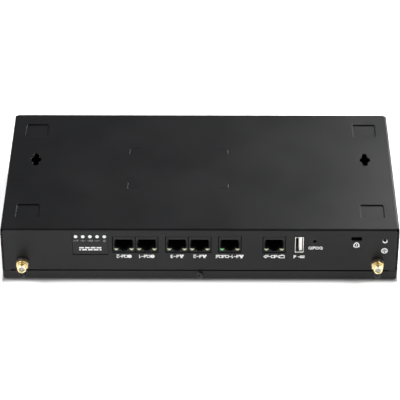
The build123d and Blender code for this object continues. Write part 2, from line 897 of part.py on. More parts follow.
def thermal_pad():
    size = processor_size - 2 * pad_inset
    return block(around(heatsink_x, size), around(heatsink_y, size), (processor_top, heatsink_bottom))


def heatsink():
    base_top = heatsink_bottom + heatsink_base
    span_x = around(heatsink_x, heatsink_size)
    span_y = around(heatsink_y, heatsink_size)
    sink = block(span_x, span_y, (heatsink_bottom, base_top))
    pitch = (heatsink_size - fin_thickness) / (fin_count - 1)
    for i in range(fin_count):
        x = span_x[0] + fin_thickness / 2 + i * pitch
        sink += block(around(x, fin_thickness), span_y, (base_top, base_top + fin_height))
    for x, y in push_pin_places:
        well = push_pin_head + push_pin_well_clearance
        sink -= rod_z(x, y, well, base_top, base_top + fin_height + cut_overrun)
        sink -= rod_z(x, y, push_pin_radius + post_clearance, board_top, base_top + cut_overrun)
    return sink


def heatsink_pins():
    base_top = heatsink_bottom + heatsink_base
    pins = []
    for x, y in push_pin_places:
        head = rod_z(x, y, push_pin_head, base_top, base_top + push_pin_head_height)
        shank_z = (board_bottom - push_pin_tail, base_top + push_pin_head_height / 2)
        pins.append(head + rod_z(x, y, push_pin_radius, *shank_z))
    return pins


# other electronics

def on_board(x, y, width, depth, height):
    return block(around(x, width), around(y, depth), (board_top, board_top + height))


def line_transformers():
    y = jack_back + transformer_gap + transformer_depth / 2
    network = [x for port, x in jack_places.items() if port != "console"]
    return [on_board(x, y, transformer_width, transformer_depth, transformer_height) for x in network]


def memory_chips():
    offset = (memory_depth + memory_gap) / 2
    return [
        on_board(memory_x, heatsink_y + side * offset, memory_width, memory_depth, memory_height)
        for side in (-1, 1)
    ]


def network_chip():
    x = memory_x + memory_width / 2 + network_chip_size
    y = heatsink_y - network_chip_shift
    return on_board(x, y, network_chip_size, network_chip_size, network_chip_height)


def storage_chip():
    x = memory_x + 2 * memory_width
    return on_board(x, heatsink_y + storage_shift, storage_width, storage_depth, storage_height)


def power_coils():
    coils = []
    coil_z = (board_top, board_top + coil_height)
    for i in range(coil_count):
        x = inlet_x + coil_offset + i * (coil_size + coil_gap)
        coils.append(rounded_z(x, board_back - coil_setback, coil_size, coil_size, coil_corner, *coil_z))
    return coils


def capacitors():
    x = inlet_x - inlet_width / 2 - capacitor_gap - capacitor_radius
    cans = []
    for i in range(capacitor_count):
        y = board_back - capacitor_setback - i * capacitor_pitch
        can = rod_z(x, y, capacitor_radius, board_top, board_top + capacitor_height)
        cans.append(fillet(can.edges().sort_by(Axis.Z)[-1], capacitor_edge))
    return cans


def clock_battery():
    place = window_x - battery_shift, board_back - battery_setback
    cell = rod_z(*place, battery_radius, board_top, board_top + battery_height)
    return fillet(cell.edges().sort_by(Axis.Z)[-1], battery_edge)


# back panel

def inlet_housing():
    inlet_y = (inlet_face - inlet_length, inlet_face)
    body = block(around(inlet_x, inlet_width), inlet_y, (board_top, board_top + inlet_height))
    bore_y = (inlet_face - inlet_bore_depth, inlet_face + cut_overrun)
    return body - rod_y(inlet_x, inlet_z, inlet_bore_radius, *bore_y)


def inlet_pin():
    y_range = (inlet_face - inlet_bore_depth, inlet_face - inlet_pin_set_back)
    pin = rod_y(inlet_x, inlet_z, inlet_pin_radius, *y_range)
    return fillet(pin.edges().sort_by(Axis.Y)[-1], inlet_pin_radius / 2)


def switch_frame():
    bezel = block(around(switch_x, bezel_width), (back, switch_face), around(switch_z, bezel_height))
    bezel = fillet(bezel.edges().group_by(Axis.Y)[-1], bezel_thickness / 3)
    body_y = (back - switch_body_depth, back)
    bezel += block(around(switch_x, switch_body_width), body_y, around(switch_z, switch_body_height))
    opening_y = (opening_floor, switch_face + cut_overrun)
    bezel -= block(around(switch_x, opening_width), opening_y, around(switch_z, opening_height))
    reach = opening_height / 2 + rocker_axle_length + rocker_axle_clearance
    bore = rocker_axle_radius + rocker_axle_clearance
    return bezel - rod_z(switch_x, pivot_y, bore, switch_z - reach, switch_z + reach)


def rocker():
    # Drawn level about the pivot, then tipped to the end that is pressed at rest.
    half_height = opening_height / 2 - rocker_air
    crown = switch_face + rocker_rise - pivot_y
    dip = switch_face + rocker_dip - pivot_y
    reach = rocker_radius
    top = [(-reach, crown), (0, dip), (reach, crown), (reach, -rocker_depth), (-reach, -rocker_depth)]
    outline = make_face(Polyline(*top, close=True))
    body = extrude(outline, half_height, both=True)
    body = body & Cylinder(rocker_radius, 2 * half_height)
    body += Cylinder(rocker_axle_radius, opening_height + 2 * rocker_axle_length)
    return Pos(switch_x, pivot_y, switch_z) * Rot(0, 0, -rocker_tilt) * body


def switch_tabs():
    y_range = (tab_front, back - switch_body_depth)
    return [block(around(x, tab_thickness), y_range, around(switch_z, tab_width)) for x in tab_places]


def switch_header():
    body = on_board(switch_x, header_y, header_width + tab_spacing, header_depth, header_height)
    return fillet(body.edges().filter_by(Axis.Z), header_corner)


def switch_wires():
    wires = []
    for x in tab_places:
        points = [(x, tab_front, switch_z), (x, header_y, switch_z), (x, header_y, header_top)]
        wires.append(lead_tube(points, wire_bend, wire_radius))
    return wires


os.makedirs("parts", exist_ok=True)

save("base_tray", base_tray())
save("top_lid", top_lid())
save("lid_screws", *lid_screws())
save("earth_insert", earth_insert())
save("status_window", status_window())
save("light_pipe", light_pipe())

save("main_board", main_board())
save("board_spacers", *board_spacers())
save("board_screws", *board_screws())
for port, port_x in jack_places.items():
    save(f"jack_housing_{port}", jack_housing(port_x))
    save(f"jack_contacts_{port}", *jack_contacts(port_x))
save("jack_lamps_green", *jack_lamps(1))
save("jack_lamps_amber", *jack_lamps(-1))
save("usb_shell", usb_shell())
save("usb_tongue", usb_tongue())
save("usb_contacts", *usb_contacts())
save("reset_case", reset_case())
save("reset_plunger", reset_plunger())
save("status_lamps", *status_lamps())

for side, side_x in antenna_places.items():
    save(f"antenna_barrel_{side}", antenna_barrel(side_x))
    save(f"antenna_lead_{side}", antenna_lead(side))
save("antenna_nuts", *antenna_nuts())
save("antenna_lock_washers", *antenna_ring(lock_washer_radius, lock_washer_face, washer_face))
save("antenna_flat_washers", *antenna_ring(flat_washer_radius, washer_face, front))
save("antenna_insulators", *antenna_insulators())
save("antenna_pins", *antenna_pins())

save("radio_card", radio_card())
save("radio_shield", radio_shield())
save("radio_socket", radio_socket())
save("radio_post", radio_post())
save("processor", processor())
save("thermal_pad", thermal_pad())
save("heatsink", heatsink())
save("heatsink_pins", *heatsink_pins())
save("line_transformers", *line_transformers())
save("memory_chips", *memory_chips())
save("network_chip", network_chip())
save("storage_chip", storage_chip())
save("power_coils", *power_coils())
save("capacitors", *capacitors())
save("clock_battery", clock_battery())

save("inlet_housing", inlet_housing())
save("inlet_pin", inlet_pin())
save("switch_frame", switch_frame())
save("rocker", rocker())
save("switch_tabs", *switch_tabs())
save("switch_header", switch_header())
save("switch_wires", *switch_wires())
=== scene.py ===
import json
import math

import bmesh
import bpy
from mathutils import Matrix, Vector
from mathutils.bvhtree import BVHTree
from mathutils.geometry import tessellate_polygon


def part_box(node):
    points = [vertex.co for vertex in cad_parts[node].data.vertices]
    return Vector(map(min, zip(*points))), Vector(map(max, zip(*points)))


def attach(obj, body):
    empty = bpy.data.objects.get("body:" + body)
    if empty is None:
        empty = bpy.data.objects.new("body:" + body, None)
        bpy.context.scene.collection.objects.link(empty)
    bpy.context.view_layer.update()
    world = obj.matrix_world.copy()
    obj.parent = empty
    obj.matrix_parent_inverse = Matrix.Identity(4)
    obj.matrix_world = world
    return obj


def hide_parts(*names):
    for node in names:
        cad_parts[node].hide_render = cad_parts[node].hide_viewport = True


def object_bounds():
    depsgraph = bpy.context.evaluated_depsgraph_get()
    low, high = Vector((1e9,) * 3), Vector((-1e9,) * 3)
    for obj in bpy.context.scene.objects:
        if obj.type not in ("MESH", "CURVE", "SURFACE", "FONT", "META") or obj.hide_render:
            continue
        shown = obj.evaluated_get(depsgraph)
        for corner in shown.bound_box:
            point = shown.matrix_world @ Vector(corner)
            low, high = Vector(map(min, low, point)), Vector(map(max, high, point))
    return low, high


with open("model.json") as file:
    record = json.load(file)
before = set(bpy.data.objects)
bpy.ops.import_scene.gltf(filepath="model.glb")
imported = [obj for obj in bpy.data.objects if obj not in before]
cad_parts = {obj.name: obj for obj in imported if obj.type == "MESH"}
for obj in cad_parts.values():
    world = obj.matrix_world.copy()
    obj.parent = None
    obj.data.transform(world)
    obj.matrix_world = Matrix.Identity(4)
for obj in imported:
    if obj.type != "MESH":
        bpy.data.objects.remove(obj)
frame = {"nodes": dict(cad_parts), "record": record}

mm = 0.001
cadLow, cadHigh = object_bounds()
ports = ("console", "lan1", "lan2", "lan3", "wan1", "wan2")
sides = ("left", "right")
print("frame loaded:", len(frame["nodes"]), "nodes")


def middle(node):
    low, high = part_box(node)
    return (low + high) / 2


trayLow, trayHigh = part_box("base_tray")
lidLow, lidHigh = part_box("top_lid")
frontFace = trayLow.y
backFace = trayHigh.y
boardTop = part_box("main_board")[1].z


# shader groups

def shaderGroup(name, inputs, outputs):
    tree = bpy.data.node_groups.new(name, "ShaderNodeTree")
    for label, kind, value in inputs:
        socket = tree.interface.new_socket(label, in_out="INPUT", socket_type=kind)
        if value is not None:
            socket.default_value = value
    for label, kind in outputs:
        tree.interface.new_socket(label, in_out="OUTPUT", socket_type=kind)
    return tree, tree.nodes.new("NodeGroupInput"), tree.nodes.new("NodeGroupOutput")


def mathNode(tree, operation, first, second=None, clamp=False):
    node = tree.nodes.new("ShaderNodeMath")
    node.operation = operation
    node.use_clamp = clamp
    for socket, value in zip(node.inputs, (first, second)):
        if value is None:
            continue
        if isinstance(value, (int, float)):
            socket.default_value = value
        else:
            tree.links.new(value, socket)
    return node.outputs[0]


def vectorNode(tree, operation, first, second=None):
    node = tree.nodes.new("ShaderNodeVectorMath")
    node.operation = operation
    tree.links.new(first, node.inputs[0])
    if isinstance(second, bpy.types.NodeSocket):
        tree.links.new(second, node.inputs[1])
    elif second is not None:
        node.inputs[1].default_value = second
    return node.outputs


def noiseNode(tree, vector, scale, detail, rough):
    node = tree.nodes.new("ShaderNodeTexNoise")
    tree.links.new(vector, node.inputs["Vector"])
    if isinstance(scale, bpy.types.NodeSocket):
        tree.links.new(scale, node.inputs["Scale"])
    else:
        node.inputs["Scale"].default_value = scale
    node.inputs["Detail"].default_value = detail
    node.inputs["Roughness"].default_value = rough
    return node.outputs["Fac"]


def makeGrain():
    # fine pebbling plus a slow blotch, both 0 to 1
    tree, enter, leave = shaderGroup(
        "grain",
        [("Vector", "NodeSocketVector", None), ("Pebble scale", "NodeSocketFloat", 900.0),
         ("Blotch scale", "NodeSocketFloat", 18.0)],
        [("Pebbles", "NodeSocketFloat"), ("Blotches", "NodeSocketFloat")],
    )
    fine = noiseNode(tree, enter.outputs["Vector"], enter.outputs["Pebble scale"], 3.0, 0.55)
    slow = noiseNode(tree, enter.outputs["Vector"], enter.outputs["Blotch scale"], 4.0, 0.6)
    tree.links.new(fine, leave.inputs["Pebbles"])
    tree.links.new(slow, leave.inputs["Blotches"])
    return tree


wearAndSheenSizes = {"edgeGain": 5.0, "breakGain": 2.4, "breakOffset": -0.7, "samples": 4}
dustSizes = {"speckScale": 2600.0, "speckLevel": 0.68}


def makeEdgeWearAndSheen():
    # 1 on rubbed corners, broken up by a noise; the paler colour it lets in is wear, and on the screws and
    # gold parts also a painted edge highlight
    tree, enter, leave = shaderGroup(
        "edgeWearAndSheen",
        [("Vector", "NodeSocketVector", None), ("Width", "NodeSocketFloat", 0.0004),
         ("Amount", "NodeSocketFloat", 0.5), ("Break scale", "NodeSocketFloat", 220.0)],
        [("Mask", "NodeSocketFloat")],
    )
    bevel = tree.nodes.new("ShaderNodeBevel")
    bevel.samples = wearAndSheenSizes["samples"]
    tree.links.new(enter.outputs["Width"], bevel.inputs["Radius"])
    geometry = tree.nodes.new("ShaderNodeNewGeometry")
    facing = vectorNode(tree, "DOT_PRODUCT", bevel.outputs["Normal"], geometry.outputs["Normal"])["Value"]
    edge = mathNode(tree, "SUBTRACT", 1.0, facing, clamp=True)
    edge = mathNode(tree, "MULTIPLY", edge, wearAndSheenSizes["edgeGain"], clamp=True)
    broken = noiseNode(tree, enter.outputs["Vector"], enter.outputs["Break scale"], 3.0, 0.6)
    broken = mathNode(tree, "MULTIPLY_ADD", broken, wearAndSheenSizes["breakGain"])
    broken.node.inputs[2].default_value = wearAndSheenSizes["breakOffset"]
    wornAndSheen = mathNode(tree, "MULTIPLY", edge, broken, clamp=True)
    wornAndSheen = mathNode(tree, "MULTIPLY", wornAndSheen, enter.outputs["Amount"], clamp=True)
    tree.links.new(wornAndSheen, leave.inputs["Mask"])
    return tree


def makeDust():
    # a thin uneven veil with specks in it, 0 to Amount
    tree, enter, leave = shaderGroup(
        "dust",
        [("Vector", "NodeSocketVector", None), ("Amount", "NodeSocketFloat", 0.03),
         ("Scale", "NodeSocketFloat", 60.0)],
        [("Mask", "NodeSocketFloat")],
    )
    cloud = noiseNode(tree, enter.outputs["Vector"], enter.outputs["Scale"], 5.0, 0.7)
    speck = noiseNode(tree, enter.outputs["Vector"], dustSizes["speckScale"], 1.0, 0.5)
    speck = mathNode(tree, "GREATER_THAN", speck, dustSizes["speckLevel"])
    veil = mathNode(tree, "MULTIPLY", cloud, enter.outputs["Amount"], clamp=True)
    specks = mathNode(tree, "MULTIPLY", speck, enter.outputs["Amount"], clamp=True)
    tree.links.new(mathNode(tree, "ADD", veil, specks, clamp=True), leave.inputs["Mask"])
    return tree


grainGroup = makeGrain()
edgeWearAndSheenGroup = makeEdgeWearAndSheen()
dustGroup = makeDust()


def placeGroup(tree, group, vector, **values):
    node = tree.nodes.new("ShaderNodeGroup")
    node.node_tree = group
    tree.links.new(vector, node.inputs["Vector"])
    for label, value in values.items():
        node.inputs[label.replace("_", " ")].default_value = value
    return node.outputs


def mixColour(tree, factor, first, second):
    node = tree.nodes.new("ShaderNodeMix")
    node.data_type = "RGBA"
    tree.links.new(factor, node.inputs["Factor"])
    for socket, value in ((node.inputs[6], first), (node.inputs[7], second)):
        if isinstance(value, tuple):
            socket.default_value = (*value, 1.0)
        else:
            tree.links.new(value, socket)
    return node.outputs[2]


def rampValue(tree, factor, low, high):
    # most of a noise lies between 0.3 and 0.7
    node = tree.nodes.new("ShaderNodeMapRange")
    tree.links.new(factor, node.inputs["Value"])
    for label, value in (("From Min", 0.3), ("From Max", 0.7), ("To Min", low), ("To Max", high)):
        node.inputs[label].default_value = value
    return node.outputs["Result"]


# finishes

finishes = {}
finishSizes = {"roughSpread": 0.04, "bumpStrength": 0.6, "roundingSamples": 6, "dust": (0.35, 0.34, 0.32)}


def finish(name, colour, colourTwo, roughness, metallic=0.0, pebbleScale=900.0, pebbleHeight=0.02 * mm,
           blotchScale=18.0, wearAndSheenColour=None, wearAndSheenWidth=0.4 * mm, wearAndSheenAmount=0.4, dustAmount=0.0,
           stretch=(1.0, 1.0, 1.0), glow=0.0, specular=0.5, rounding=0.0):
    material = bpy.data.materials.new(name)
    material.use_nodes = True
    tree = material.node_tree
    shader = tree.nodes["Principled BSDF"]
    mapping = tree.nodes.new("ShaderNodeMapping")
    mapping.inputs["Scale"].default_value = stretch
    tree.links.new(tree.nodes.new("ShaderNodeTexCoord").outputs["Object"], mapping.inputs["Vector"])
    vector = mapping.outputs["Vector"]
    grain = placeGroup(tree, grainGroup, vector, Pebble_scale=pebbleScale, Blotch_scale=blotchScale)
    base = mixColour(tree, grain["Blotches"], colour, colourTwo)
    spread = finishSizes["roughSpread"]
    rough = rampValue(tree, grain["Blotches"], roughness - spread, roughness + spread)
    # edge colour: wear, and on the screws and gold parts also a painted edge highlight
    if wearAndSheenColour:
        wornAndSheen = placeGroup(tree, edgeWearAndSheenGroup, vector, Width=wearAndSheenWidth, Amount=wearAndSheenAmount)["Mask"]
        base = mixColour(tree, wornAndSheen, base, wearAndSheenColour)
    if dustAmount:
        dust = placeGroup(tree, dustGroup, vector, Amount=dustAmount)["Mask"]
        base = mixColour(tree, dust, base, finishSizes["dust"])
    tree.links.new(base, shader.inputs["Base Color"])
    tree.links.new(rough, shader.inputs["Roughness"])
    bump = tree.nodes.new("ShaderNodeBump")
    bump.inputs["Strength"].default_value = finishSizes["bumpStrength"]
    bump.inputs["Distance"].default_value = pebbleHeight
    tree.links.new(grain["Pebbles"], bump.inputs["Height"])
    if rounding:
        softEdge = tree.nodes.new("ShaderNodeBevel")
        softEdge.samples = finishSizes["roundingSamples"]
        softEdge.inputs["Radius"].default_value = rounding
        tree.links.new(softEdge.outputs["Normal"], bump.inputs["Normal"])
    tree.links.new(bump.outputs["Normal"], shader.inputs["Normal"])
    shader.inputs["Metallic"].default_value = metallic
    shader.inputs["Specular IOR Level"].default_value = specular
    # emission: the light of lit lamps, and painted light on the print, the serial tongue, the earth lip and
    # the unlit socket lenses
    if glow:
        tree.links.new(base, shader.inputs["Emission Color"])
        shader.inputs["Emission Strength"].default_value = glow
    finishes[name] = material


smoothMetal = {"metallic": 1.0, "pebbleScale": 500.0, "pebbleHeight": 0.01 * mm}

finish("case_paint", (0.0045, 0.0045, 0.005), (0.007, 0.007, 0.0077), 0.35, pebbleScale=1300.0,
       pebbleHeight=0.03 * mm, wearAndSheenColour=(0.03, 0.03, 0.032), wearAndSheenAmount=0.35, dustAmount=0.003,
       specular=0.185, rounding=0.6 * mm)
# pale grey edges on the screw heads: wear together with painted glints
finish("black_screw", (0.012, 0.012, 0.013), (0.03, 0.03, 0.032), 0.34, metallic=0.6, pebbleScale=2500.0,
       wearAndSheenColour=(0.25, 0.25, 0.26), wearAndSheenWidth=0.15 * mm, wearAndSheenAmount=0.7)
finish("bright_nickel", (0.78, 0.77, 0.74), (0.66, 0.65, 0.63), 0.22, metallic=1.0, pebbleScale=400.0,
       pebbleHeight=0.01 * mm)
finish("plated_steel", (0.62, 0.62, 0.64), (0.44, 0.44, 0.46), 0.32, stretch=(1.0, 0.15, 1.0), **smoothMetal)
# pale edges on the gold parts and the nut: wear together with a painted edge highlight
finish("gold", (1.0, 0.88, 0.54), (0.98, 0.81, 0.42), 0.38, wearAndSheenColour=(1.0, 0.93, 0.72),
       wearAndSheenWidth=0.2 * mm, wearAndSheenAmount=0.7, **smoothMetal)
finish("nut_gold", (0.74, 0.60, 0.32), (0.60, 0.46, 0.22), 0.33, wearAndSheenColour=(1.0, 0.90, 0.66),
       wearAndSheenWidth=0.15 * mm, wearAndSheenAmount=0.6, **smoothMetal)
# the earth lip glows: a painted glint
finish("earth_nickel_painted_glint", (0.90, 0.90, 0.89), (0.80, 0.80, 0.79), 0.5, metallic=0.3, pebbleScale=500.0,
       pebbleHeight=0.01 * mm, glow=0.3)
finish("window_pane", (0.004, 0.004, 0.0045), (0.006, 0.006, 0.0066), 0.33, pebbleScale=2000.0,
       pebbleHeight=0.01 * mm, dustAmount=0.004, specular=0.22)
finish("light_pipe", (0.92, 0.93, 0.93), (0.86, 0.87, 0.87), 0.25, pebbleScale=600.0, glow=0.4)
# the unlit socket lenses glow a little: painted light
finish("lamp_green", (0.60, 0.68, 0.44), (0.52, 0.60, 0.36), 0.28, glow=0.2)
finish("lamp_amber", (0.66, 0.67, 0.44), (0.58, 0.59, 0.36), 0.28, glow=0.2)
finish("black_plastic", (0.006, 0.006, 0.0065), (0.011, 0.011, 0.012), 0.48, pebbleScale=1800.0,
       wearAndSheenColour=(0.02, 0.02, 0.021), wearAndSheenAmount=0.2, specular=0.17)
finish("rocker_plastic", (0.006, 0.006, 0.006), (0.010, 0.010, 0.010), 0.26, pebbleScale=800.0,
       pebbleHeight=0.01 * mm, dustAmount=0.005)
finish("white_plastic", (0.88, 0.88, 0.85), (0.80, 0.80, 0.77), 0.42)
finish("board_mask", (0.012, 0.10, 0.045), (0.02, 0.15, 0.06), 0.30, pebbleScale=300.0, blotchScale=260.0,
       dustAmount=0.01)
finish("chip_body", (0.012, 0.012, 0.013), (0.02, 0.02, 0.021), 0.55, pebbleScale=2600.0, dustAmount=0.02)
finish("ferrite", (0.05, 0.05, 0.052), (0.08, 0.08, 0.08), 0.5, pebbleScale=2200.0, dustAmount=0.02)
finish("thermal_pad", (0.30, 0.34, 0.42), (0.24, 0.28, 0.36), 0.7, pebbleScale=700.0)
finish("bare_aluminium", (0.80, 0.81, 0.82), (0.68, 0.69, 0.70), 0.34, dustAmount=0.02,
       stretch=(1.0, 0.1, 1.0), **smoothMetal)
finish("wire_jacket", (0.014, 0.014, 0.014), (0.02, 0.02, 0.02), 0.45, pebbleScale=800.0, dustAmount=0.01)
# the white print glows: painted light, brighter than the lamps light it
finish("printed_white_painted_light", (0.92, 0.92, 0.91), (0.86, 0.86, 0.85), 0.5, pebbleScale=2400.0, glow=0.3)
# nickel inside the serial socket and the earth bush, painted dark for the shade in there
finish("nickel_painted_shade", (0.10, 0.10, 0.10), (0.06, 0.06, 0.06), 0.40, **smoothMetal)
# plated steel darkened: painted shade on the antenna washers
finish("steel_painted_shade", (0.16, 0.15, 0.15), (0.10, 0.095, 0.095), 0.42, **smoothMetal)
# the serial tongue glows: painted light
finish("tongue_white_painted_light", (0.94, 0.94, 0.93), (0.88, 0.88, 0.87), 0.4, glow=0.55)
finish("printed_grey", (0.34, 0.34, 0.34), (0.26, 0.26, 0.26), 0.5, pebbleScale=2400.0)
finish("lamp_lit_green", (0.22, 0.62, 0.24), (0.16, 0.52, 0.18), 0.28, glow=0.3)

slotOfNode = {row["node"]: row["material_slot"] for row in frame["record"]["subparts"]}
for name, node in frame["nodes"].items():
    node.data.materials.clear()
    node.data.materials.append(finishes[slotOfNode[name]])
print("finishes made:", len(finishes))


# mesh helpers

def newPiece(name, verts, faces, material, smooth=35.0):
    mesh = bpy.data.meshes.new(name)
    mesh.from_pydata([tuple(v) for v in verts], [], faces)
    cleaned = bmesh.new()
    cleaned.from_mesh(mesh)
    bmesh.ops.remove_doubles(cleaned, verts=cleaned.verts, dist=1e-7)
    bmesh.ops.dissolve_degenerate(cleaned, edges=cleaned.edges, dist=1e-7)
    bmesh.ops.recalc_face_normals(cleaned, faces=cleaned.faces)
    cleaned.to_mesh(mesh)
    cleaned.free()
    return linkPiece(name, mesh, material, smooth)


def linkPiece(name, mesh, material, smooth=35.0):
    mesh.materials.clear()
    mesh.materials.append(finishes[material])
    mesh.shade_smooth()
    mesh.set_sharp_from_angle(angle=math.radians(smooth))
    piece = bpy.data.objects.new(name, mesh)
    bpy.context.scene.collection.objects.link(piece)
    return piece


def settle(piece, body, slotName, *stoodFor):
    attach(piece, body)
    if stoodFor:
        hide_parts(*stoodFor)


class Shape:
    # points and faces gathered before they become one piece
    def __init__(self):
        self.points = []
        self.faces = []

    def add(self, points):
        start = len(self.points)
        self.points.extend(Vector(p) for p in points)
        return list(range(start, len(self.points)))

    def bridge(self, first, second):
        count = len(first)
        for i in range(count):
            j = (i + 1) % count
            self.faces.append((first[i], first[j], second[j], second[i]))

    def cap(self, loop):
        self.faces.append(tuple(loop))

    def sheet(self, outer, *holes):
        # flat face with holes, all lying in one plane
        loops = [outer, *holes]
        index = [i for loop in loops for i in loop]
        for a, b, c in tessellate_polygon([[self.points[i] for i in loop] for loop in loops]):
            self.faces.append((index[a], index[b], index[c]))

    def rings(self, loops, closed=False):
        indices = [self.add(loop) for loop in loops]
        for first, second in zip(indices, indices[1:]):
            self.bridge(first, second)
        if closed:
            self.bridge(indices[-1], indices[0])
        else:
            self.cap(indices[0])
            self.cap(indices[-1])

    def piece(self, name, material, smooth=35.0):
        return newPiece(name, self.points, self.faces, material, smooth)


def circleY(x, z, radius, y, count):
    step = 2 * math.pi / count
    return [(x + radius * math.cos(i * step), y, z + radius * math.sin(i * step)) for i in range(count)]


axisRadius = 1e-6  # keeps a ring of points where a profile meets its axis


def latheY(shape, x, z, profile, count=40, closed=False):
    # profile: (radius, y) pairs; closed for a ring, open from axis to axis for a rod
    shape.rings([circleY(x, z, max(radius, axisRadius), y, count) for radius, y in profile], closed)


def roundedRect(x, z, width, height, corner, y, steps=4):
    points = []
    for turn, sx, sz in ((0, 1, 1), (90, -1, 1), (180, -1, -1), (270, 1, -1)):
        cx = x + sx * (width / 2 - corner)
        cz = z + sz * (height / 2 - corner)
        for i in range(steps + 1):
            angle = math.radians(turn + 90 * i / steps)
            points.append((cx + corner * math.cos(angle), y, cz + corner * math.sin(angle)))
    return points


# geometry-node helpers

def nodeTree(name, inputs):
    tree = bpy.data.node_groups.new(name, "GeometryNodeTree")
    tree.interface.new_socket("Geometry", in_out="INPUT", socket_type="NodeSocketGeometry")
    sockets = {}
    for label, kind, value in inputs:
        socket = tree.interface.new_socket(label, in_out="INPUT", socket_type=kind)
        if value is not None:
            socket.default_value = value
        sockets[label] = socket.identifier
    tree.interface.new_socket("Geometry", in_out="OUTPUT", socket_type="NodeSocketGeometry")
    enter = tree.nodes.new("NodeGroupInput")
    leave = tree.nodes.new("NodeGroupOutput")
    return tree, enter, leave, sockets


def wire(tree, kind, settings=None, **inputs):
    # a node with its inputs given by name: a number, a vector or another node's output
    node = tree.nodes.new(kind)
    for label, value in (settings or {}).items():
        setattr(node, label, value)
    for label, value in inputs.items():
        socket = node.inputs[label.replace("_", " ")]
        if isinstance(value, bpy.types.NodeSocket):
            tree.links.new(value, socket)
        else:
            socket.default_value = value
    return node


def closeTree(tree, leave, geometry, material):
    solid = wire(tree, "GeometryNodeRealizeInstances", Geometry=geometry)
    painted = wire(tree, "GeometryNodeSetMaterial", Geometry=solid.outputs["Geometry"], Material=material)
    tree.links.new(painted.outputs["Geometry"], leave.inputs["Geometry"])


def pointCloud(name, places, turns=None):
    mesh = bpy.data.meshes.new(name)
    mesh.from_pydata([tuple(p) for p in places], [], [])
    if turns:
        attribute = mesh.attributes.new("turn", "FLOAT_VECTOR", "POINT")
        for item, turn in zip(attribute.data, turns):
            item.vector = turn
    holder = bpy.data.objects.new(name, mesh)
    bpy.context.scene.collection.objects.link(holder)
    return holder


def runTree(name, holder, tree, sockets, values, material, smooth=35.0):
    modifier = holder.modifiers.new("nodes", "NODES")
    modifier.node_group = tree
    for label, value in values.items():
        modifier[sockets[label]] = value
    graph = bpy.context.evaluated_depsgraph_get()
    mesh = bpy.data.meshes.new_from_object(holder.evaluated_get(graph))
    mesh.name = name
    holder.modifiers.clear()
    bpy.data.objects.remove(holder)
    return linkPiece(name, mesh, material, smooth)


# screws: one tree for the lid's and the board's

screwSizes = {
    "headRadius": 2.6 * mm, "headHeight": 1.1 * mm, "dome": 0.5 * mm, "shankRadius": 1.4 * mm,
    "length": 5.0 * mm, "recessLength": 3.0 * mm, "recessWidth": 0.62 * mm, "recessDepth": 0.7 * mm,
    "pointTaper": 0.8, "pointStart": 0.92, "threadStart": 0.9, "threadReach": 0.86, "rimTaper": 0.97,
    "rimHeight": 0.18, "domeFlare": 1.4, "threadTurns": 7, "threadRoot": 0.86, "domeSteps": 6, "sides": 28,
    "spacing": 12 * mm,
    "lidTurn": math.radians(20), "boardTurn": 0.4,
}


def screwBlank():
    # stands on z = 0 with its shank below
    s = screwSizes
    shank, head, length = s["shankRadius"], s["headRadius"], s["length"]
    profile = [(0, -length), (shank * s["pointTaper"], -length), (shank, -length * s["pointStart"])]
    ridges = s["threadTurns"] * 2
    for i in range(ridges):
        radius = shank * (1.0 if i % 2 else s["threadRoot"])
        profile.append((radius, -length * s["threadStart"] + length * s["threadReach"] * i / ridges))
    profile += [(shank, 0), (head * s["rimTaper"], 0), (head, s["headHeight"] * s["rimHeight"])]
    for i in range(s["domeSteps"] + 1):
        angle = math.radians(90 * i / s["domeSteps"])
        profile.append((head - s["dome"] * (1 - math.cos(angle)) * s["domeFlare"],
                        s["headHeight"] - s["dome"] + s["dome"] * math.sin(angle)))
    profile.append((0, s["headHeight"]))
    shape = Shape()
    shape.rings([[(x, z, height) for x, _, z in circleY(0, 0, max(radius, axisRadius), 0, s["sides"])]
                 for radius, height in profile])
    return shape.piece("screwBlank", "black_screw")


def screwTree():
    tree, enter, leave, sockets = nodeTree("crossScrews", [
        ("Blank", "NodeSocketObject", None),
        ("Recess length", "NodeSocketFloat", screwSizes["recessLength"]),
        ("Recess width", "NodeSocketFloat", screwSizes["recessWidth"]),
        ("Recess depth", "NodeSocketFloat", screwSizes["recessDepth"]),
        ("Head height", "NodeSocketFloat", screwSizes["headHeight"]),
        ("Finish", "NodeSocketMaterial", None),
    ])
    given = enter.outputs
    blank = wire(tree, "GeometryNodeObjectInfo", Object=given["Blank"])
    arm = wire(tree, "ShaderNodeCombineXYZ", X=given["Recess length"], Y=given["Recess width"])
    depth = mathNode(tree, "MULTIPLY", given["Recess depth"], 2.0)
    tree.links.new(depth, arm.inputs["Z"])
    bar = wire(tree, "GeometryNodeMeshCube", Size=arm.outputs["Vector"])
    lift = wire(tree, "ShaderNodeCombineXYZ", Z=given["Head height"])
    first = wire(tree, "GeometryNodeTransform", Geometry=bar.outputs["Mesh"],
                 Translation=lift.outputs["Vector"])
    second = wire(tree, "GeometryNodeTransform", Geometry=first.outputs["Geometry"],
                  Rotation=(0.0, 0.0, math.radians(90)))
    cut = tree.nodes.new("GeometryNodeMeshBoolean")
    cut.operation = "DIFFERENCE"
    tree.links.new(blank.outputs["Geometry"], cut.inputs["Mesh 1"])
    tree.links.new(first.outputs["Geometry"], cut.inputs["Mesh 2"])
    tree.links.new(second.outputs["Geometry"], cut.inputs["Mesh 2"])
    turn = wire(tree, "GeometryNodeInputNamedAttribute", {"data_type": "FLOAT_VECTOR"}, Name="turn")
    facing = wire(tree, "FunctionNodeEulerToRotation", Euler=turn.outputs["Attribute"])
    spread = wire(tree, "GeometryNodeInstanceOnPoints", Points=given["Geometry"],
                  Instance=cut.outputs["Mesh"], Rotation=facing.outputs["Rotation"])
    closeTree(tree, leave, spread.outputs["Instances"], given["Finish"])
    return tree, sockets


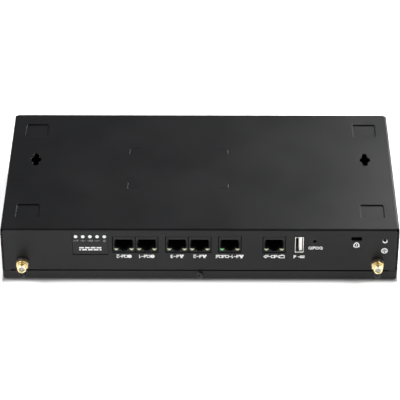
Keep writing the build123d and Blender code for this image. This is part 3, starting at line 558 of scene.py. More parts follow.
def screwPlaces(node):
    # middles of the separate screws of a node, found from its vertices
    groups = []
    for vertex in frame["nodes"][node].data.vertices:
        spot = vertex.co.copy()
        for group in groups:
            if (group[0] - spot).length < screwSizes["spacing"]:
                group.append(spot)
                break
        else:
            groups.append([spot])
    return [Vector([(min(p[i] for p in group) + max(p[i] for p in group)) / 2 for i in range(3)])
            for group in groups]


blank = screwBlank()
screwNodes, screwSockets = screwTree()
lidPlaces, lidTurns = [], []
for centre in screwPlaces("lid_screws"):
    front = centre.y < 0
    lidPlaces.append((centre.x, frontFace if front else backFace, centre.z))
    lidTurns.append((math.radians(90 if front else -90), 0.0, screwSizes["lidTurn"]))
boardPlaces = [(centre.x, centre.y, boardTop) for centre in screwPlaces("board_screws")]
boardTurns = [(0.0, 0.0, screwSizes["boardTurn"] * i) for i in range(len(boardPlaces))]
for name, places, turns, material, node in (
        ("lid_screw_set", lidPlaces, lidTurns, "black_screw", "lid_screws"),
        ("board_screw_set", boardPlaces, boardTurns, "plated_steel", "board_screws")):
    screws = runTree(name, pointCloud(name + "_places", places, turns), screwNodes, screwSockets,
                     {"Blank": blank, "Finish": finishes[material]}, material)
    settle(screws, "case", material, node)
bpy.data.objects.remove(blank)
print("screws:", len(lidPlaces), "on the lid,", len(boardPlaces), "on the board")


# network sockets

socketSizes = {
    "chamfer": 0.3 * mm, "faceCorner": 0.3 * mm, "bodyCorner": 0.5 * mm,
    "mouthHalf": 6.05 * mm, "bulgeHalf": 6.75 * mm, "bulgeLow": 2.0 * mm, "bulgeHigh": 4.4 * mm,
    "mouthFloor": 2.7 * mm, "mouthTop": 9.7 * mm, "stepHalf": 3.3 * mm, "stepTop": 11.1 * mm,
    "latchHalf": 1.95 * mm, "latchTop": 12.3 * mm, "depth": 14.5 * mm, "funnel": 0.18 * mm,
    "throat": 2.2 * mm,
    "lensInner": 3.7 * mm, "lensOuter": 7.15 * mm, "lensBase": 10.3 * mm, "lensTip": 12.15 * mm,
    "lensNarrow": 1.1 * mm, "lensEdge": 0.35 * mm, "lensDepth": 3.0 * mm, "lensFit": 0.06 * mm,
}


def mouthOutline(x, y, grow, inner=False):
    # half of the opening from the floor up to the latch, then mirrored
    s = socketSizes
    bulge = s["mouthHalf"] if inner else s["bulgeHalf"]
    half = [
        (s["mouthHalf"], s["mouthFloor"] - 2 * grow), (bulge, s["mouthFloor"] + s["bulgeLow"] - grow),
        (bulge, s["mouthFloor"] + s["bulgeHigh"] - grow), (s["mouthHalf"], s["mouthTop"]),
        (s["stepHalf"], s["mouthTop"]), (s["stepHalf"], s["stepTop"]),
        (s["latchHalf"], s["stepTop"]), (s["latchHalf"], s["latchTop"]),
    ]
    right = [(x + px + grow, y, boardTop + pz + grow) for px, pz in half]
    left = [(x - px - grow, y, boardTop + pz + grow) for px, pz in reversed(half)]
    return right + left


def lensOutline(x, y, side, grow):
    s = socketSizes
    shoulder = s["lensBase"] + s["lensEdge"]
    corners = [
        (s["lensInner"] - grow, s["lensBase"] - grow), (s["lensOuter"] + grow, s["lensBase"] - grow),
        (s["lensOuter"] + grow, shoulder), (s["lensOuter"] - s["lensNarrow"] + grow, s["lensTip"] + grow),
        (s["lensInner"] + s["lensNarrow"] - grow, s["lensTip"] + grow), (s["lensInner"] - grow, shoulder),
    ]
    points = [(x + side * px, y, boardTop + pz) for px, pz in corners]
    return points if side > 0 else points[::-1]


def socketBody(port):
    s = socketSizes
    low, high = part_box("jack_housing_" + port)
    x, z = (low.x + high.x) / 2, (boardTop + high.z) / 2
    width, height, chamfer = high.x - low.x, high.z - boardTop, s["chamfer"]
    face = low.y
    shape = Shape()
    edge = shape.add(roundedRect(x, z, width - 2 * chamfer, height - 2 * chamfer, s["faceCorner"], face, 2))
    full = shape.add(roundedRect(x, z, width, height, s["bodyCorner"], face + chamfer, 2))
    back = shape.add(roundedRect(x, z, width, height, s["bodyCorner"], high.y, 2))
    shape.bridge(edge, full)
    shape.bridge(full, back)
    shape.cap(back)
    mouth = shape.add(mouthOutline(x, face, s["funnel"]))
    throat = shape.add(mouthOutline(x, face + s["throat"], 0.0))
    collar = shape.add(mouthOutline(x, face + s["throat"] + 0.1 * mm, 0.0, True))
    end = shape.add(mouthOutline(x, face + s["depth"], 0.0, True))
    for first, second in ((mouth, throat), (throat, collar), (collar, end)):
        shape.bridge(first, second)
    shape.sheet(end)
    holes = [mouth]
    for side in (-1, 1):
        rim = shape.add(lensOutline(x, face, side, 0.0))
        floor = shape.add(lensOutline(x, face + s["lensDepth"], side, 0.0))
        shape.bridge(rim, floor)
        shape.cap(floor)
        holes.append(rim)
    shape.sheet(edge, *holes)
    return shape, x, face


def lensPiece(name, material, places):
    s = socketSizes
    shape = Shape()
    for x, face, side in places:
        shape.rings([lensOutline(x, face + s["lensDepth"] - 0.1 * mm, side, -s["lensFit"]),
                     lensOutline(x, face + 0.2 * mm, side, -s["lensFit"]),
                     lensOutline(x, face + 0.02 * mm, side, -0.3 * mm)])
    return shape.piece(name, material, 50.0)


socketFaces = {}
for port in ports:
    shape, x, face = socketBody(port)
    body = shape.piece(port + "_socket_body", "black_plastic")
    settle(body, "case", "black_plastic", "jack_housing_" + port)
    socketFaces[port] = (x, face)
leftLenses = [(x, face, -1) for x, face in socketFaces.values()]
rightLenses = [(x, face, 1) for port, (x, face) in socketFaces.items() if port != "lan1"]
firstLens = [(*socketFaces["lan1"], 1)]
settle(lensPiece("socket_lenses_left", "lamp_amber", leftLenses), "case", "lamp_amber", "jack_lamps_amber")
settle(lensPiece("socket_lenses_right", "lamp_green", rightLenses), "case", "lamp_green", "jack_lamps_green")
settle(lensPiece("socket_lens_first", "lamp_lit_green", firstLens), "case", "lamp_green", "jack_lamps_green")
print("sockets:", len(socketFaces))


# contact springs in the sockets

springSizes = {
    "count": 8, "pitch": 1.02 * mm, "width": 0.45 * mm, "thickness": 0.28 * mm,
    "root": (0.0, 14.4 * mm, 3.0 * mm), "knee": (0.0, 5.0 * mm, 1.6 * mm), "tip": (0.0, 3.3 * mm, 0.15 * mm),
}


def springTree():
    s = springSizes
    tree, enter, leave, sockets = nodeTree("contactSprings", [
        ("Count", "NodeSocketInt", s["count"]),
        ("Pitch", "NodeSocketFloat", s["pitch"]),
        ("Width", "NodeSocketFloat", s["width"]),
        ("Thickness", "NodeSocketFloat", s["thickness"]),
        ("Root", "NodeSocketVector", s["root"]),
        ("Knee", "NodeSocketVector", s["knee"]),
        ("Tip", "NodeSocketVector", s["tip"]),
        ("Finish", "NodeSocketMaterial", None),
    ])
    given = enter.outputs
    path = wire(tree, "GeometryNodeCurveQuadraticBezier", Resolution=12, Start=given["Root"],
                Middle=given["Knee"], End=given["Tip"])
    section = wire(tree, "GeometryNodeCurvePrimitiveQuadrilateral", Width=given["Thickness"],
                   Height=given["Width"])
    spring = wire(tree, "GeometryNodeCurveToMesh", Curve=path.outputs["Curve"],
                  Profile_Curve=section.outputs["Curve"], Fill_Caps=True)
    step = wire(tree, "ShaderNodeCombineXYZ", X=given["Pitch"])
    row = wire(tree, "GeometryNodeMeshLine", Count=given["Count"], Offset=step.outputs["Vector"])
    comb = wire(tree, "GeometryNodeInstanceOnPoints", Points=row.outputs["Mesh"],
                Instance=spring.outputs["Mesh"])
    combs = wire(tree, "GeometryNodeInstanceOnPoints", Points=given["Geometry"],
                 Instance=comb.outputs["Instances"])
    closeTree(tree, leave, combs.outputs["Instances"], given["Finish"])
    return tree, sockets


springNodes, springSockets = springTree()
rowStart = (springSizes["count"] - 1) / 2 * springSizes["pitch"]
rowPlaces = [(x - rowStart, face, boardTop + socketSizes["mouthFloor"]) for x, face in socketFaces.values()]
springHolder = pointCloud("springHolder", rowPlaces)
springs = runTree("socket_springs", springHolder, springNodes, springSockets,
                  {"Finish": finishes["gold"]}, "gold")
settle(springs, "case", "gold", *["jack_contacts_" + port for port in ports])
print("contact springs placed")


# antenna connectors

antennaSizes = {
    "threadPitch": 0.706 * mm, "threadRadius": 3.175 * mm, "rootDrop": 0.36 * mm, "neckRadius": 2.9 * mm,
    "boreRadius": 2.3 * mm, "boreDepth": 6.0 * mm, "boreLip": 0.12 * mm, "panel": 1.0 * mm,
    "flangeRadius": 4.0 * mm, "flangeLength": 2.3 * mm, "tailRadius": 2.2 * mm, "tailEdge": 0.3 * mm,
    "coreRadius": 2.28 * mm, "coreBore": 0.5 * mm, "coreSink": 0.6 * mm, "pinRadius": 0.46 * mm,
    "pinSink": 0.35 * mm, "nutFlats": 8.0 * mm, "nutBore": 2.98 * mm, "nutLead": 0.35 * mm,
    "nutLeadDepth": 0.3 * mm, "nutSlope": 1.9, "nutRim": 1.01, "nutCount": 72,
    "nutLevels": (0.0, 0.1, 0.25, 0.45, 0.7, 0.85, 1.0),
    "washerBore": 3.1 * mm, "washerEdge": 0.08 * mm, "splitBore": 3.15 * mm, "splitStart": 96,
    "splitTurn": 345,
}


def threadTree():
    tree, enter, leave, sockets = nodeTree("screwThread", [
        ("Pitch", "NodeSocketFloat", antennaSizes["threadPitch"]),
        ("Length", "NodeSocketFloat", 4.0 * mm),
        ("Root radius", "NodeSocketFloat", 2.8 * mm),
        ("Ridge", "NodeSocketFloat", 0.4 * mm),
        ("Finish", "NodeSocketMaterial", None),
    ])
    given = enter.outputs
    turns = mathNode(tree, "DIVIDE", given["Length"], given["Pitch"])
    helix = wire(tree, "GeometryNodeCurveSpiral", Resolution=28, Rotations=turns,
                 Start_Radius=given["Root radius"], End_Radius=given["Root radius"], Height=given["Length"])
    section = wire(tree, "GeometryNodeCurvePrimitiveCircle", Resolution=4, Radius=given["Ridge"])
    ridge = wire(tree, "GeometryNodeCurveToMesh", Curve=helix.outputs["Curve"],
                 Profile_Curve=section.outputs["Curve"], Fill_Caps=True)
    turned = wire(tree, "GeometryNodeTransform", Geometry=ridge.outputs["Mesh"],
                  Rotation=(math.radians(90), 0.0, 0.0))
    spread = wire(tree, "GeometryNodeInstanceOnPoints", Points=given["Geometry"],
                  Instance=turned.outputs["Geometry"])
    closeTree(tree, leave, spread.outputs["Instances"], given["Finish"])
    return tree, sockets


def barrelCore(x, z, tip, tail, nutFace):
    s = antennaSizes
    root = s["threadRadius"] - s["rootDrop"]
    lip = s["boreRadius"] + s["boreLip"]
    inside = frontFace + s["panel"]
    shape = Shape()
    latheY(shape, x, z, [
        (0.0, tip + s["boreDepth"]), (s["boreRadius"], tip + s["boreDepth"]),
        (s["boreRadius"], tip + 0.15 * mm), (lip, tip), (root - 0.1 * mm, tip), (root, tip + 0.12 * mm),
        (root, nutFace - 0.2 * mm), (s["neckRadius"], nutFace - 0.2 * mm), (s["neckRadius"], inside),
        (s["flangeRadius"] - 0.1 * mm, inside), (s["flangeRadius"], inside + 0.2 * mm),
        (s["flangeRadius"], inside + s["flangeLength"]),
        (s["tailRadius"], inside + s["flangeLength"] + 0.1 * mm),
        (s["tailRadius"], tail - s["tailEdge"]), (s["tailRadius"] - s["tailEdge"], tail), (0.0, tail)], 48)
    return shape


def hexNut(shape, x, z, near, far):
    # flats meet a shallow cone at both ends, as on a turned nut
    s = antennaSizes
    count = s["nutCount"]
    sixth, half = math.radians(60), s["nutFlats"] / 2

    def reach(angle, along):
        local = (angle + sixth / 2) % sixth - sixth / 2
        rim = half * s["nutRim"] + min(along, far - near - along) * s["nutSlope"]
        return min(half / math.cos(local), rim)

    loops = []
    for level in s["nutLevels"]:
        along = (far - near) * level
        angles = [2 * math.pi * i / count for i in range(count)]
        loops.append([(x + reach(a, along) * math.cos(a), near + along, z + reach(a, along) * math.sin(a))
                      for a in angles])
    lead, bore, depth = s["nutBore"] + s["nutLead"], s["nutBore"], s["nutLeadDepth"]
    for radius, y in ((lead, far), (bore, far - depth), (bore, near + depth), (lead, near)):
        loops.append(circleY(x, z, radius, y, count))
    shape.rings(loops, closed=True)


def splitWasher(shape, x, z, low, high):
    # square wire that stops short of a full turn
    s = antennaSizes
    radius, steps = (high.z - low.z) / 2, 60
    section = ((s["splitBore"], low.y), (radius, low.y), (radius, high.y), (s["splitBore"], high.y))
    loops = []
    for i in range(steps + 1):
        angle = math.radians(s["splitStart"] + s["splitTurn"] * i / steps)
        loops.append([(x + reach * math.cos(angle), y, z + reach * math.sin(angle)) for reach, y in section])
    shape.rings(loops)


def washerProfile(low, high):
    s = antennaSizes
    radius, edge = (high.z - low.z) / 2, s["washerEdge"]
    return [(s["washerBore"], low.y), (radius - edge, low.y), (radius, low.y + edge), (radius, high.y - edge),
            (radius - edge, high.y), (s["washerBore"], high.y)]


nutLow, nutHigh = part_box("antenna_nuts")
centres = []
for side in sides:
    low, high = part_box("antenna_barrel_" + side)
    x, z, tip = (low.x + high.x) / 2, (low.z + high.z) / 2, low.y
    centres.append((x, z))
    core = barrelCore(x, z, tip, high.y, nutLow.y)
    settle(core.piece("antenna_core_" + side, "gold"), "case", "gold", "antenna_barrel_" + side)

threadNodes, threadSockets = threadTree()
threadEnd = nutLow.y - 0.55 * mm
threadHolder = pointCloud("threadHolder", [(x, threadEnd, z) for x, z in centres])
threads = runTree("antenna_threads", threadHolder, threadNodes, threadSockets, {
    "Length": threadEnd - tip - 0.35 * mm, "Ridge": antennaSizes["rootDrop"],
    "Root radius": antennaSizes["threadRadius"] - antennaSizes["rootDrop"], "Finish": finishes["gold"]},
    "gold", 20.0)
settle(threads, "case", "gold")

coreFace, coreRear = tip + antennaSizes["coreSink"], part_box("antenna_insulators")[1].y
coreBore, coreRadius = antennaSizes["coreBore"], antennaSizes["coreRadius"]
pinFace, pinRadius = tip + antennaSizes["pinSink"], antennaSizes["pinRadius"]
coreProfile = [(coreBore, coreFace), (coreRadius - 0.13 * mm, coreFace), (coreRadius, coreFace + 0.12 * mm),
               (coreRadius, coreRear), (coreBore, coreRear)]
pinProfile = [(0.0, pinFace), (0.25 * mm, pinFace + 0.03 * mm), (pinRadius - 0.02 * mm, pinFace + 0.4 * mm),
              (pinRadius, pinFace + 0.65 * mm), (pinRadius, coreRear), (0.0, coreRear)]
washerLow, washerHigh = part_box("antenna_flat_washers")
splitLow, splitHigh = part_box("antenna_lock_washers")
coreShape, pinShape, nutShape, washerShape, splitShape = (Shape() for _ in range(5))
for x, z in centres:
    latheY(coreShape, x, z, coreProfile, 40, True)
    latheY(pinShape, x, z, pinProfile, 20)
    hexNut(nutShape, x, z, nutLow.y, nutHigh.y)
    latheY(washerShape, x, z, washerProfile(washerLow, washerHigh), 56, True)
    splitWasher(splitShape, x, z, splitLow, splitHigh)
settle(coreShape.piece("antenna_cores", "white_plastic"), "case", "white_plastic", "antenna_insulators")
settle(pinShape.piece("antenna_centre_pins", "gold"), "case", "gold", "antenna_pins")
settle(nutShape.piece("antenna_hex_nuts", "nut_gold", 25.0), "case", "gold", "antenna_nuts")
# the washers are plated steel, darkened as painted shade round the nuts
settle(washerShape.piece("antenna_plain_washers", "steel_painted_shade"), "case", "plated_steel",
       "antenna_flat_washers")
settle(splitShape.piece("antenna_split_washers", "steel_painted_shade"), "case", "plated_steel",
       "antenna_lock_washers")
print("antenna connectors built")


# earth point

earthSizes = {
    "x": -130.1 * mm, "z": 9.9 * mm, "ring": 1.74 * mm, "thread": 1.25 * mm, "lipFace": 0.1 * mm,
    "lipDepth": 0.66 * mm, "panel": 1.0 * mm, "shoulder": 2.7 * mm, "length": 3.5 * mm,
    "threadPitch": 0.5 * mm, "groove": 0.14 * mm,
}


def earthPieces():
    # a bright cone at the mouth that glows as a painted glint, and the threaded bush behind it, painted dark
    # for the shade inside the hole
    s = earthSizes
    ring, shoulder, thread, pitch = s["ring"], s["shoulder"], s["thread"], s["threadPitch"]
    near = frontFace + s["lipFace"]
    deep, inside, far = near + s["lipDepth"], frontFace + s["panel"], frontFace + s["length"]
    lip = Shape()
    latheY(lip, s["x"], s["z"], [(ring, near), (ring, deep), (thread, deep)], 40, True)
    profile = [(ring, deep), (ring, inside), (shoulder, inside), (shoulder, far), (thread, far)]
    y = far - 0.2 * mm
    while y > inside + pitch:
        profile += [(thread + s["groove"], y - pitch / 2), (thread, y - pitch)]
        y -= pitch
    profile.append((thread, deep))
    bush = Shape()
    latheY(bush, s["x"], s["z"], profile, 40, True)
    return lip.piece("earth_lip", "earth_nickel_painted_glint", 30.0), bush.piece("earth_bush", "nickel_painted_shade", 30.0)


for earthPart in earthPieces():
    settle(earthPart, "case", "bright_nickel", "earth_insert")
print("earth point built")


# printed marks

inkSizes = {
    "thickness": 0.03 * mm, "stroke": 0.5 * mm, "base": 22.25 * mm, "height": 2.45 * mm,
    "plugBase": 22.5 * mm, "plugLength": 7.2 * mm, "resetBase": 14.8 * mm, "resetLength": 9.8 * mm,
    "resetShift": -0.6 * mm, "sideHeight": 2.2 * mm,
}
thin = inkSizes["thickness"]


def arc(cx, cz, radius, start, end, steps, squash=1.0):
    angles = [math.radians(start + (end - start) * i / steps) for i in range(steps + 1)]
    return [(cx + radius * squash * math.cos(a), cz + radius * math.sin(a)) for a in angles]


# each sign's width and its strokes on a cell 1 high, as (points, closed)
glyphs = {
    "one": (0.34, [([(0.08, 0.78), (0.34, 1.0), (0.34, 0.0)], False)]),
    "two": (0.62, [([(0.02, 0.78), (0.10, 0.93), (0.30, 1.0), (0.50, 0.93), (0.58, 0.74), (0.48, 0.5),
                     (0.02, 0.0), (0.62, 0.0)], False)]),
    "three": (0.6, [([(0.02, 0.86), (0.16, 0.98), (0.34, 1.0), (0.52, 0.9), (0.56, 0.74), (0.46, 0.56),
                      (0.24, 0.52)], False),
                    ([(0.24, 0.52), (0.50, 0.46), (0.60, 0.26), (0.50, 0.06), (0.28, 0.0), (0.02, 0.12)],
                     False)]),
    "globe": (1.0, [(arc(0.5, 0.5, 0.5, 0, 342, 19), True), (arc(0.5, 0.5, 0.5, 0, 342, 19, 0.42), True),
                    ([(0.04, 0.5), (0.96, 0.5)], False)]),
    "tree": (1.0, [([(0.32, 0.72), (0.32, 1.0), (0.68, 1.0), (0.68, 0.72)], True),
                   ([(0.0, 0.0), (0.0, 0.26), (0.34, 0.26), (0.34, 0.0)], True),
                   ([(0.66, 0.0), (0.66, 0.26), (1.0, 0.26), (1.0, 0.0)], True),
                   ([(0.5, 0.72), (0.5, 0.5)], False),
                   ([(0.17, 0.26), (0.17, 0.5), (0.83, 0.5), (0.83, 0.26)], False)]),
    "dash": (0.55, [([(0.0, 0.5), (0.55, 0.5)], False)]),
    "screen": (1.3, [([(0.0, 0.1), (0.0, 0.95), (1.3, 0.95), (1.3, 0.1)], True),
                     ([(0.35, -0.1), (0.95, -0.1)], False)]),
    "prompt": (0.5, [([(0.0, 0.1), (0.45, 0.5), (0.0, 0.9)], False)]),
    "bars": (0.6, [([(left, 0.0), (left, top)], False)
                   for left, top in ((0.0, 0.4), (0.3, 0.7), (0.6, 1.0))]),
    "plug": (1.9, [([(0.0, 0.12), (0.0, 0.88), (1.2, 0.88), (1.2, 0.12)], True),
                   ([(1.2, 0.5), (1.9, 0.5)], False),
                   ([(0.36, 0.34), (0.36, 0.66)], False), ([(0.78, 0.34), (0.78, 0.66)], False)]),
    "loop": (1.0, [(arc(0.5, 0.5, 0.45, 120, 410, 16), False),
                   ([(0.22, 1.05), (0.24, 0.78), (0.54, 0.86)], False)]),
    "power": (1.0, [(arc(0.5, 0.45, 0.42, 125, 415, 16), False), ([(0.5, 0.5), (0.5, 1.0)], False)]),
    "tick": (1.0, [([(0.0, 0.5), (0.4, 0.1), (1.0, 1.0)], False)]),
    "square": (0.8, [([(0.0, 0.1), (0.0, 0.9), (0.8, 0.9), (0.8, 0.1)], True)]),
}


def ribbon(shape, points, width, closed, y):
    # a flat stroke with mitred corners, as a thin solid standing off the panel
    path = [Vector((x, z)) for x, z in points]
    count = len(path)
    rings = []
    for i, point in enumerate(path):
        before = path[i - 1] if i or closed else None
        after = path[(i + 1) % count] if i < count - 1 or closed else None
        ways = []
        if before:
            ways.append((point - before).normalized())
        if after:
            ways.append((after - point).normalized())
        along = sum(ways, Vector((0.0, 0.0))).normalized()
        spread = width / 2
        if len(ways) == 2:
            spread /= max(0.45, math.sqrt(max(0.0, (1 + ways[0].dot(ways[1])) / 2)))
        if before is None:
            point = point - along * width / 2
        elif after is None:
            point = point + along * width / 2
        across = Vector((-along.y, along.x)) * spread
        a, b = point + across, point - across
        rings.append(shape.add([(a.x, y, a.y), (b.x, y, b.y), (b.x, y - thin, b.y), (a.x, y - thin, a.y)]))
    for i in range(count if closed else count - 1):
        shape.bridge(rings[i], rings[(i + 1) % count])
    if not closed:
        shape.cap(rings[0])
        shape.cap(rings[-1])


def drawGlyph(shape, glyph, x, z, height, y, stroke):
    for points, closed in glyphs[glyph][1]:
        ribbon(shape, [(x + px * height, z + pz * height) for px, pz in points], stroke, closed, y)


def drawRow(shape, row, centre, length, z, height, y, stroke=inkSizes["stroke"]):
    # glyph names, spread evenly over the length
    widths = [glyphs[glyph][0] * height for glyph in row]
    gap = (length - sum(widths)) / (len(row) - 1)
    x = centre - length / 2
    for glyph, width in zip(row, widths):
        drawGlyph(shape, glyph, x, z, height, y, stroke)
        x += width + gap


def plate(shape, outer, holes, y):
    # a flat printed patch with openings
    tops, feet = ([shape.add([(px, level, pz) for px, pz in loop]) for loop in [outer, *holes]]
                  for level in (y - thin, y))
    shape.sheet(*tops)
    shape.sheet(*feet)
    for top, foot in zip(tops, feet):
        shape.bridge(top, foot)


def slab(x, z, width, height):
    return [(x + sx * width / 2, z + sz * height / 2) for sx, sz in ((-1, -1), (1, -1), (1, 1), (-1, 1))]


# length of each row under a socket, and its signs
labelRows = {
    "console": (14.6 * mm, ["screen", "prompt", "bars", "square", "dash", "bars", "prompt"]),
    "lan1": (19.0 * mm, ["tree", "bars", "dash", "one", "dash", "square", "bars", "square", "bars"]),
    "lan2": (8.9 * mm, ["tree", "bars", "dash", "two"]),
    "lan3": (8.9 * mm, ["tree", "bars", "dash", "three"]),
    "wan1": (10.4 * mm, ["globe", "square", "bars", "dash", "one"]),
    "wan2": (10.4 * mm, ["globe", "square", "bars", "dash", "two"]),
}
frontInk = Shape()
for port, (x, face) in socketFaces.items():
    length, row = labelRows[port]
    drawRow(frontInk, row, x, length, inkSizes["base"], inkSizes["height"], frontFace)
drawRow(frontInk, ["plug", "bars"], middle("usb_shell").x, inkSizes["plugLength"], inkSizes["plugBase"],
        inkSizes["sideHeight"], frontFace)
drawRow(frontInk, ["loop", "square", "bars", "loop"], middle("reset_plunger").x + inkSizes["resetShift"],
        inkSizes["resetLength"], inkSizes["resetBase"], inkSizes["sideHeight"], frontFace)

# lock sign: a shield with a post inside
lockSign = {
    "x": -110.15 * mm, "z": 13.15 * mm, "size": 4.3 * mm, "inner": 0.62, "post": (0.75 * mm, 1.5 * mm),
    "outline": [(-0.5, 0.42), (0.0, 0.55), (0.5, 0.42), (0.5, -0.05), (0.3, -0.4), (0.0, -0.58),
                (-0.3, -0.4), (-0.5, -0.05)],
}
rim, well = ([(lockSign["x"] + px * size, lockSign["z"] + pz * size) for px, pz in lockSign["outline"]]
             for size in (lockSign["size"], lockSign["size"] * lockSign["inner"]))
plate(frontInk, rim, [well], frontFace)
plate(frontInk, slab(lockSign["x"], lockSign["z"], *lockSign["post"]), [], frontFace)
# earth sign: a disc with three bars left open, each as (rise, width, height)
earthSign = {
    "x": -130.05 * mm, "z": 18.2 * mm, "radius": 2.4 * mm, "count": 28,
    "bars": [(1.05 * mm, 0.6 * mm, 1.3 * mm), (-0.15 * mm, 3.2 * mm, 0.6 * mm),
             (-1.3 * mm, 1.7 * mm, 0.55 * mm)],
}
earthRim = circleY(earthSign["x"], earthSign["z"], earthSign["radius"], 0, earthSign["count"])
disc = [(x, z) for x, _, z in earthRim]
plate(frontInk, disc, [slab(earthSign["x"], earthSign["z"] + rise, width, height)
                       for rise, width, height in earthSign["bars"]], frontFace)
settle(frontInk.piece("front_print", "printed_white_painted_light", 20.0), "case", "white_plastic")

# status window: small signs under the lamps, and a plain brick wall
windowSizes = {
    "lampPitch": 5.03 * mm, "powerShift": -0.9 * mm, "powerBase": 9.45 * mm, "powerHeight": 1.8 * mm,
    "powerStroke": 0.34 * mm, "length": 3.5 * mm, "base": 9.6 * mm, "height": 1.35 * mm, "stroke": 0.3 * mm,
    "captions": [["dash", "tick", "dash"], ["square", "bars", "dash"], ["dash", "square", "dash"],
                 ["bars", "dash", "tick"]],
}
brickSizes = {
    "left": 69.4 * mm, "right": 85.0 * mm, "base": 15.7 * mm, "rise": 1.75 * mm, "height": 1.15 * mm,
    "pitch": 4.1 * mm, "gap": 0.75 * mm, "rows": 2, "columns": 6, "shortest": 0.5 * mm,
}
windowInk, greyInk = Shape(), Shape()
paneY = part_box("status_window")[0].y
lampX = [middle("status_window").x + (i - 2) * windowSizes["lampPitch"] for i in range(5)]
drawGlyph(greyInk, "power", lampX[0] + windowSizes["powerShift"], windowSizes["powerBase"],
          windowSizes["powerHeight"], paneY, windowSizes["powerStroke"])
for x, caption in zip(lampX[1:], windowSizes["captions"]):
    drawRow(greyInk, caption, x, windowSizes["length"], windowSizes["base"], windowSizes["height"], paneY,
            windowSizes["stroke"])
for row in range(brickSizes["rows"]):
    start = brickSizes["left"] - (brickSizes["pitch"] / 2 if row % 2 else 0.0)
    level = brickSizes["base"] + brickSizes["height"] / 2 + row * brickSizes["rise"]
    for column in range(brickSizes["columns"]):
        left = max(brickSizes["left"], start + column * brickSizes["pitch"])
        right = min(brickSizes["right"], start + (column + 1) * brickSizes["pitch"] - brickSizes["gap"])
        if right - left > brickSizes["shortest"]:
            plate(windowInk, slab((left + right) / 2, level, right - left, brickSizes["height"]), [], paneY)
settle(windowInk.piece("window_print", "printed_white_painted_light", 20.0), "case", "white_plastic")
settle(greyInk.piece("window_captions", "printed_grey", 20.0), "case", "white_plastic")


# on and off marks of the power rocker
rockerMarks = {"reach": 4.4 * mm, "height": 3.0 * mm, "stroke": 0.4 * mm, "sink": 0.01 * mm, "rayStart": 0.2}


def drapeOnRocker(piece):
    # lays the flat marks on the rocker's curved face, seen from behind the unit
    target = frame["nodes"]["rocker"]
    bpy.context.view_layer.update()
    spots = [target.matrix_world @ v.co for v in target.data.vertices]
    tree = BVHTree.FromPolygons(spots, [p.vertices for p in target.data.polygons])
    for vertex in piece.data.vertices:
        lift = thin if vertex.co.y < 0 else -rockerMarks["sink"]
        start = Vector((vertex.co.x, rockerMarks["rayStart"], vertex.co.z))
        vertex.co = tree.ray_cast(start, Vector((0.0, -1.0, 0.0)))[0] + Vector((0.0, lift, 0.0))


rockerInk, rockerSpot = Shape(), middle("rocker")
barX, ringX, halfMark = (rockerSpot.x - rockerMarks["reach"], rockerSpot.x + rockerMarks["reach"],
                         rockerMarks["height"] / 2)
ribbon(rockerInk, [(barX, rockerSpot.z - halfMark), (barX, rockerSpot.z + halfMark)],
       rockerMarks["stroke"], False, 0.0)
ribbon(rockerInk, arc(ringX, rockerSpot.z, halfMark, 0, 345, 23), rockerMarks["stroke"], True, 0.0)
rockerPrint = rockerInk.piece("rocker_marks", "printed_white_painted_light", 20.0)
drapeOnRocker(rockerPrint)
settle(rockerPrint, "power_rocker", "white_plastic")
print("printed marks drawn")


# serial-bus socket

shellSizes = {
    "wall": 0.3 * mm, "flare": 0.15 * mm, "corner": 0.5 * mm, "rimDepth": 0.8 * mm, "rimEdge": 0.08 * mm,
    "springWidth": 1.6 * mm, "springLength": 4.2 * mm, "springStart": 2.2 * mm, "springLevel": 0.25,
    "bladeWidth": 2.0 * mm, "bladeHeight": 11.3 * mm, "bladeOffset": 0.9 * mm, "bladeCorner": 0.25 * mm,
    "blockDepth": 1.4 * mm,
}


def shellPieces():
    # a bright flared rim, and the drawn sleeve with its spring leaves behind it, painted dark for the shade
    # inside the socket
    s = shellSizes
    low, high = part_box("usb_shell")
    x, z = (low.x + high.x) / 2, (low.z + high.z) / 2
    front, rear, rimRear = low.y, high.y, low.y + s["rimDepth"]
    full = (high.x - low.x, high.z - low.z)
    throat = tuple(size - 2 * s["flare"] for size in full)
    inner = tuple(size - 2 * s["wall"] for size in throat)

    def ring(size, grow, y):
        return roundedRect(x, z, size[0] + grow, size[1] + grow, s["corner"], y, 4)

    rim = Shape()
    rim.rings([ring(full, -0.3 * mm, front), ring(full, 0.0, front + s["rimEdge"]),
               ring(throat, 0.1 * mm, front + 0.5 * mm), ring(throat, 0.0, rimRear),
               ring(inner, 0.0, rimRear), ring(inner, 0.2 * mm, front + 0.15 * mm),
               ring(inner, 0.35 * mm, front)], closed=True)
    sleeve = Shape()
    sleeve.rings([ring(throat, 0.0, rimRear), ring(throat, 0.0, rear), ring(inner, 0.0, rear),
                  ring(inner, 0.0, rimRear)], closed=True)
    sleeve.rings([ring(inner, 0.0, rear - 0.5 * mm), ring(inner, 0.0, rear - 0.1 * mm)])
    # spring leaf: share of its length, and how far it bows in
    bow = [(0.0, 0.0), (0.25, 0.12 * mm), (0.6, 0.24 * mm), (0.85, 0.18 * mm), (1.0, 0.03 * mm)]
    half = s["springWidth"] / 2
    for side in (-1, 1):
        for level in (-s["springLevel"], s["springLevel"]):
            wallX, leafZ = x + side * inner[0] / 2, z + level * inner[1]
            back = wallX + side * 0.08 * mm
            rings = []
            for along, out in bow:
                y, crest = front + s["springStart"] + along * s["springLength"], wallX - side * out
                rings.append([(crest, y, leafZ - half), (crest, y, leafZ + half),
                              (back, y, leafZ + half), (back, y, leafZ - half)])
            sleeve.rings(rings)
    return rim.piece("serial_rim", "bright_nickel", 40.0), sleeve.piece("serial_sleeve", "nickel_painted_shade", 40.0)


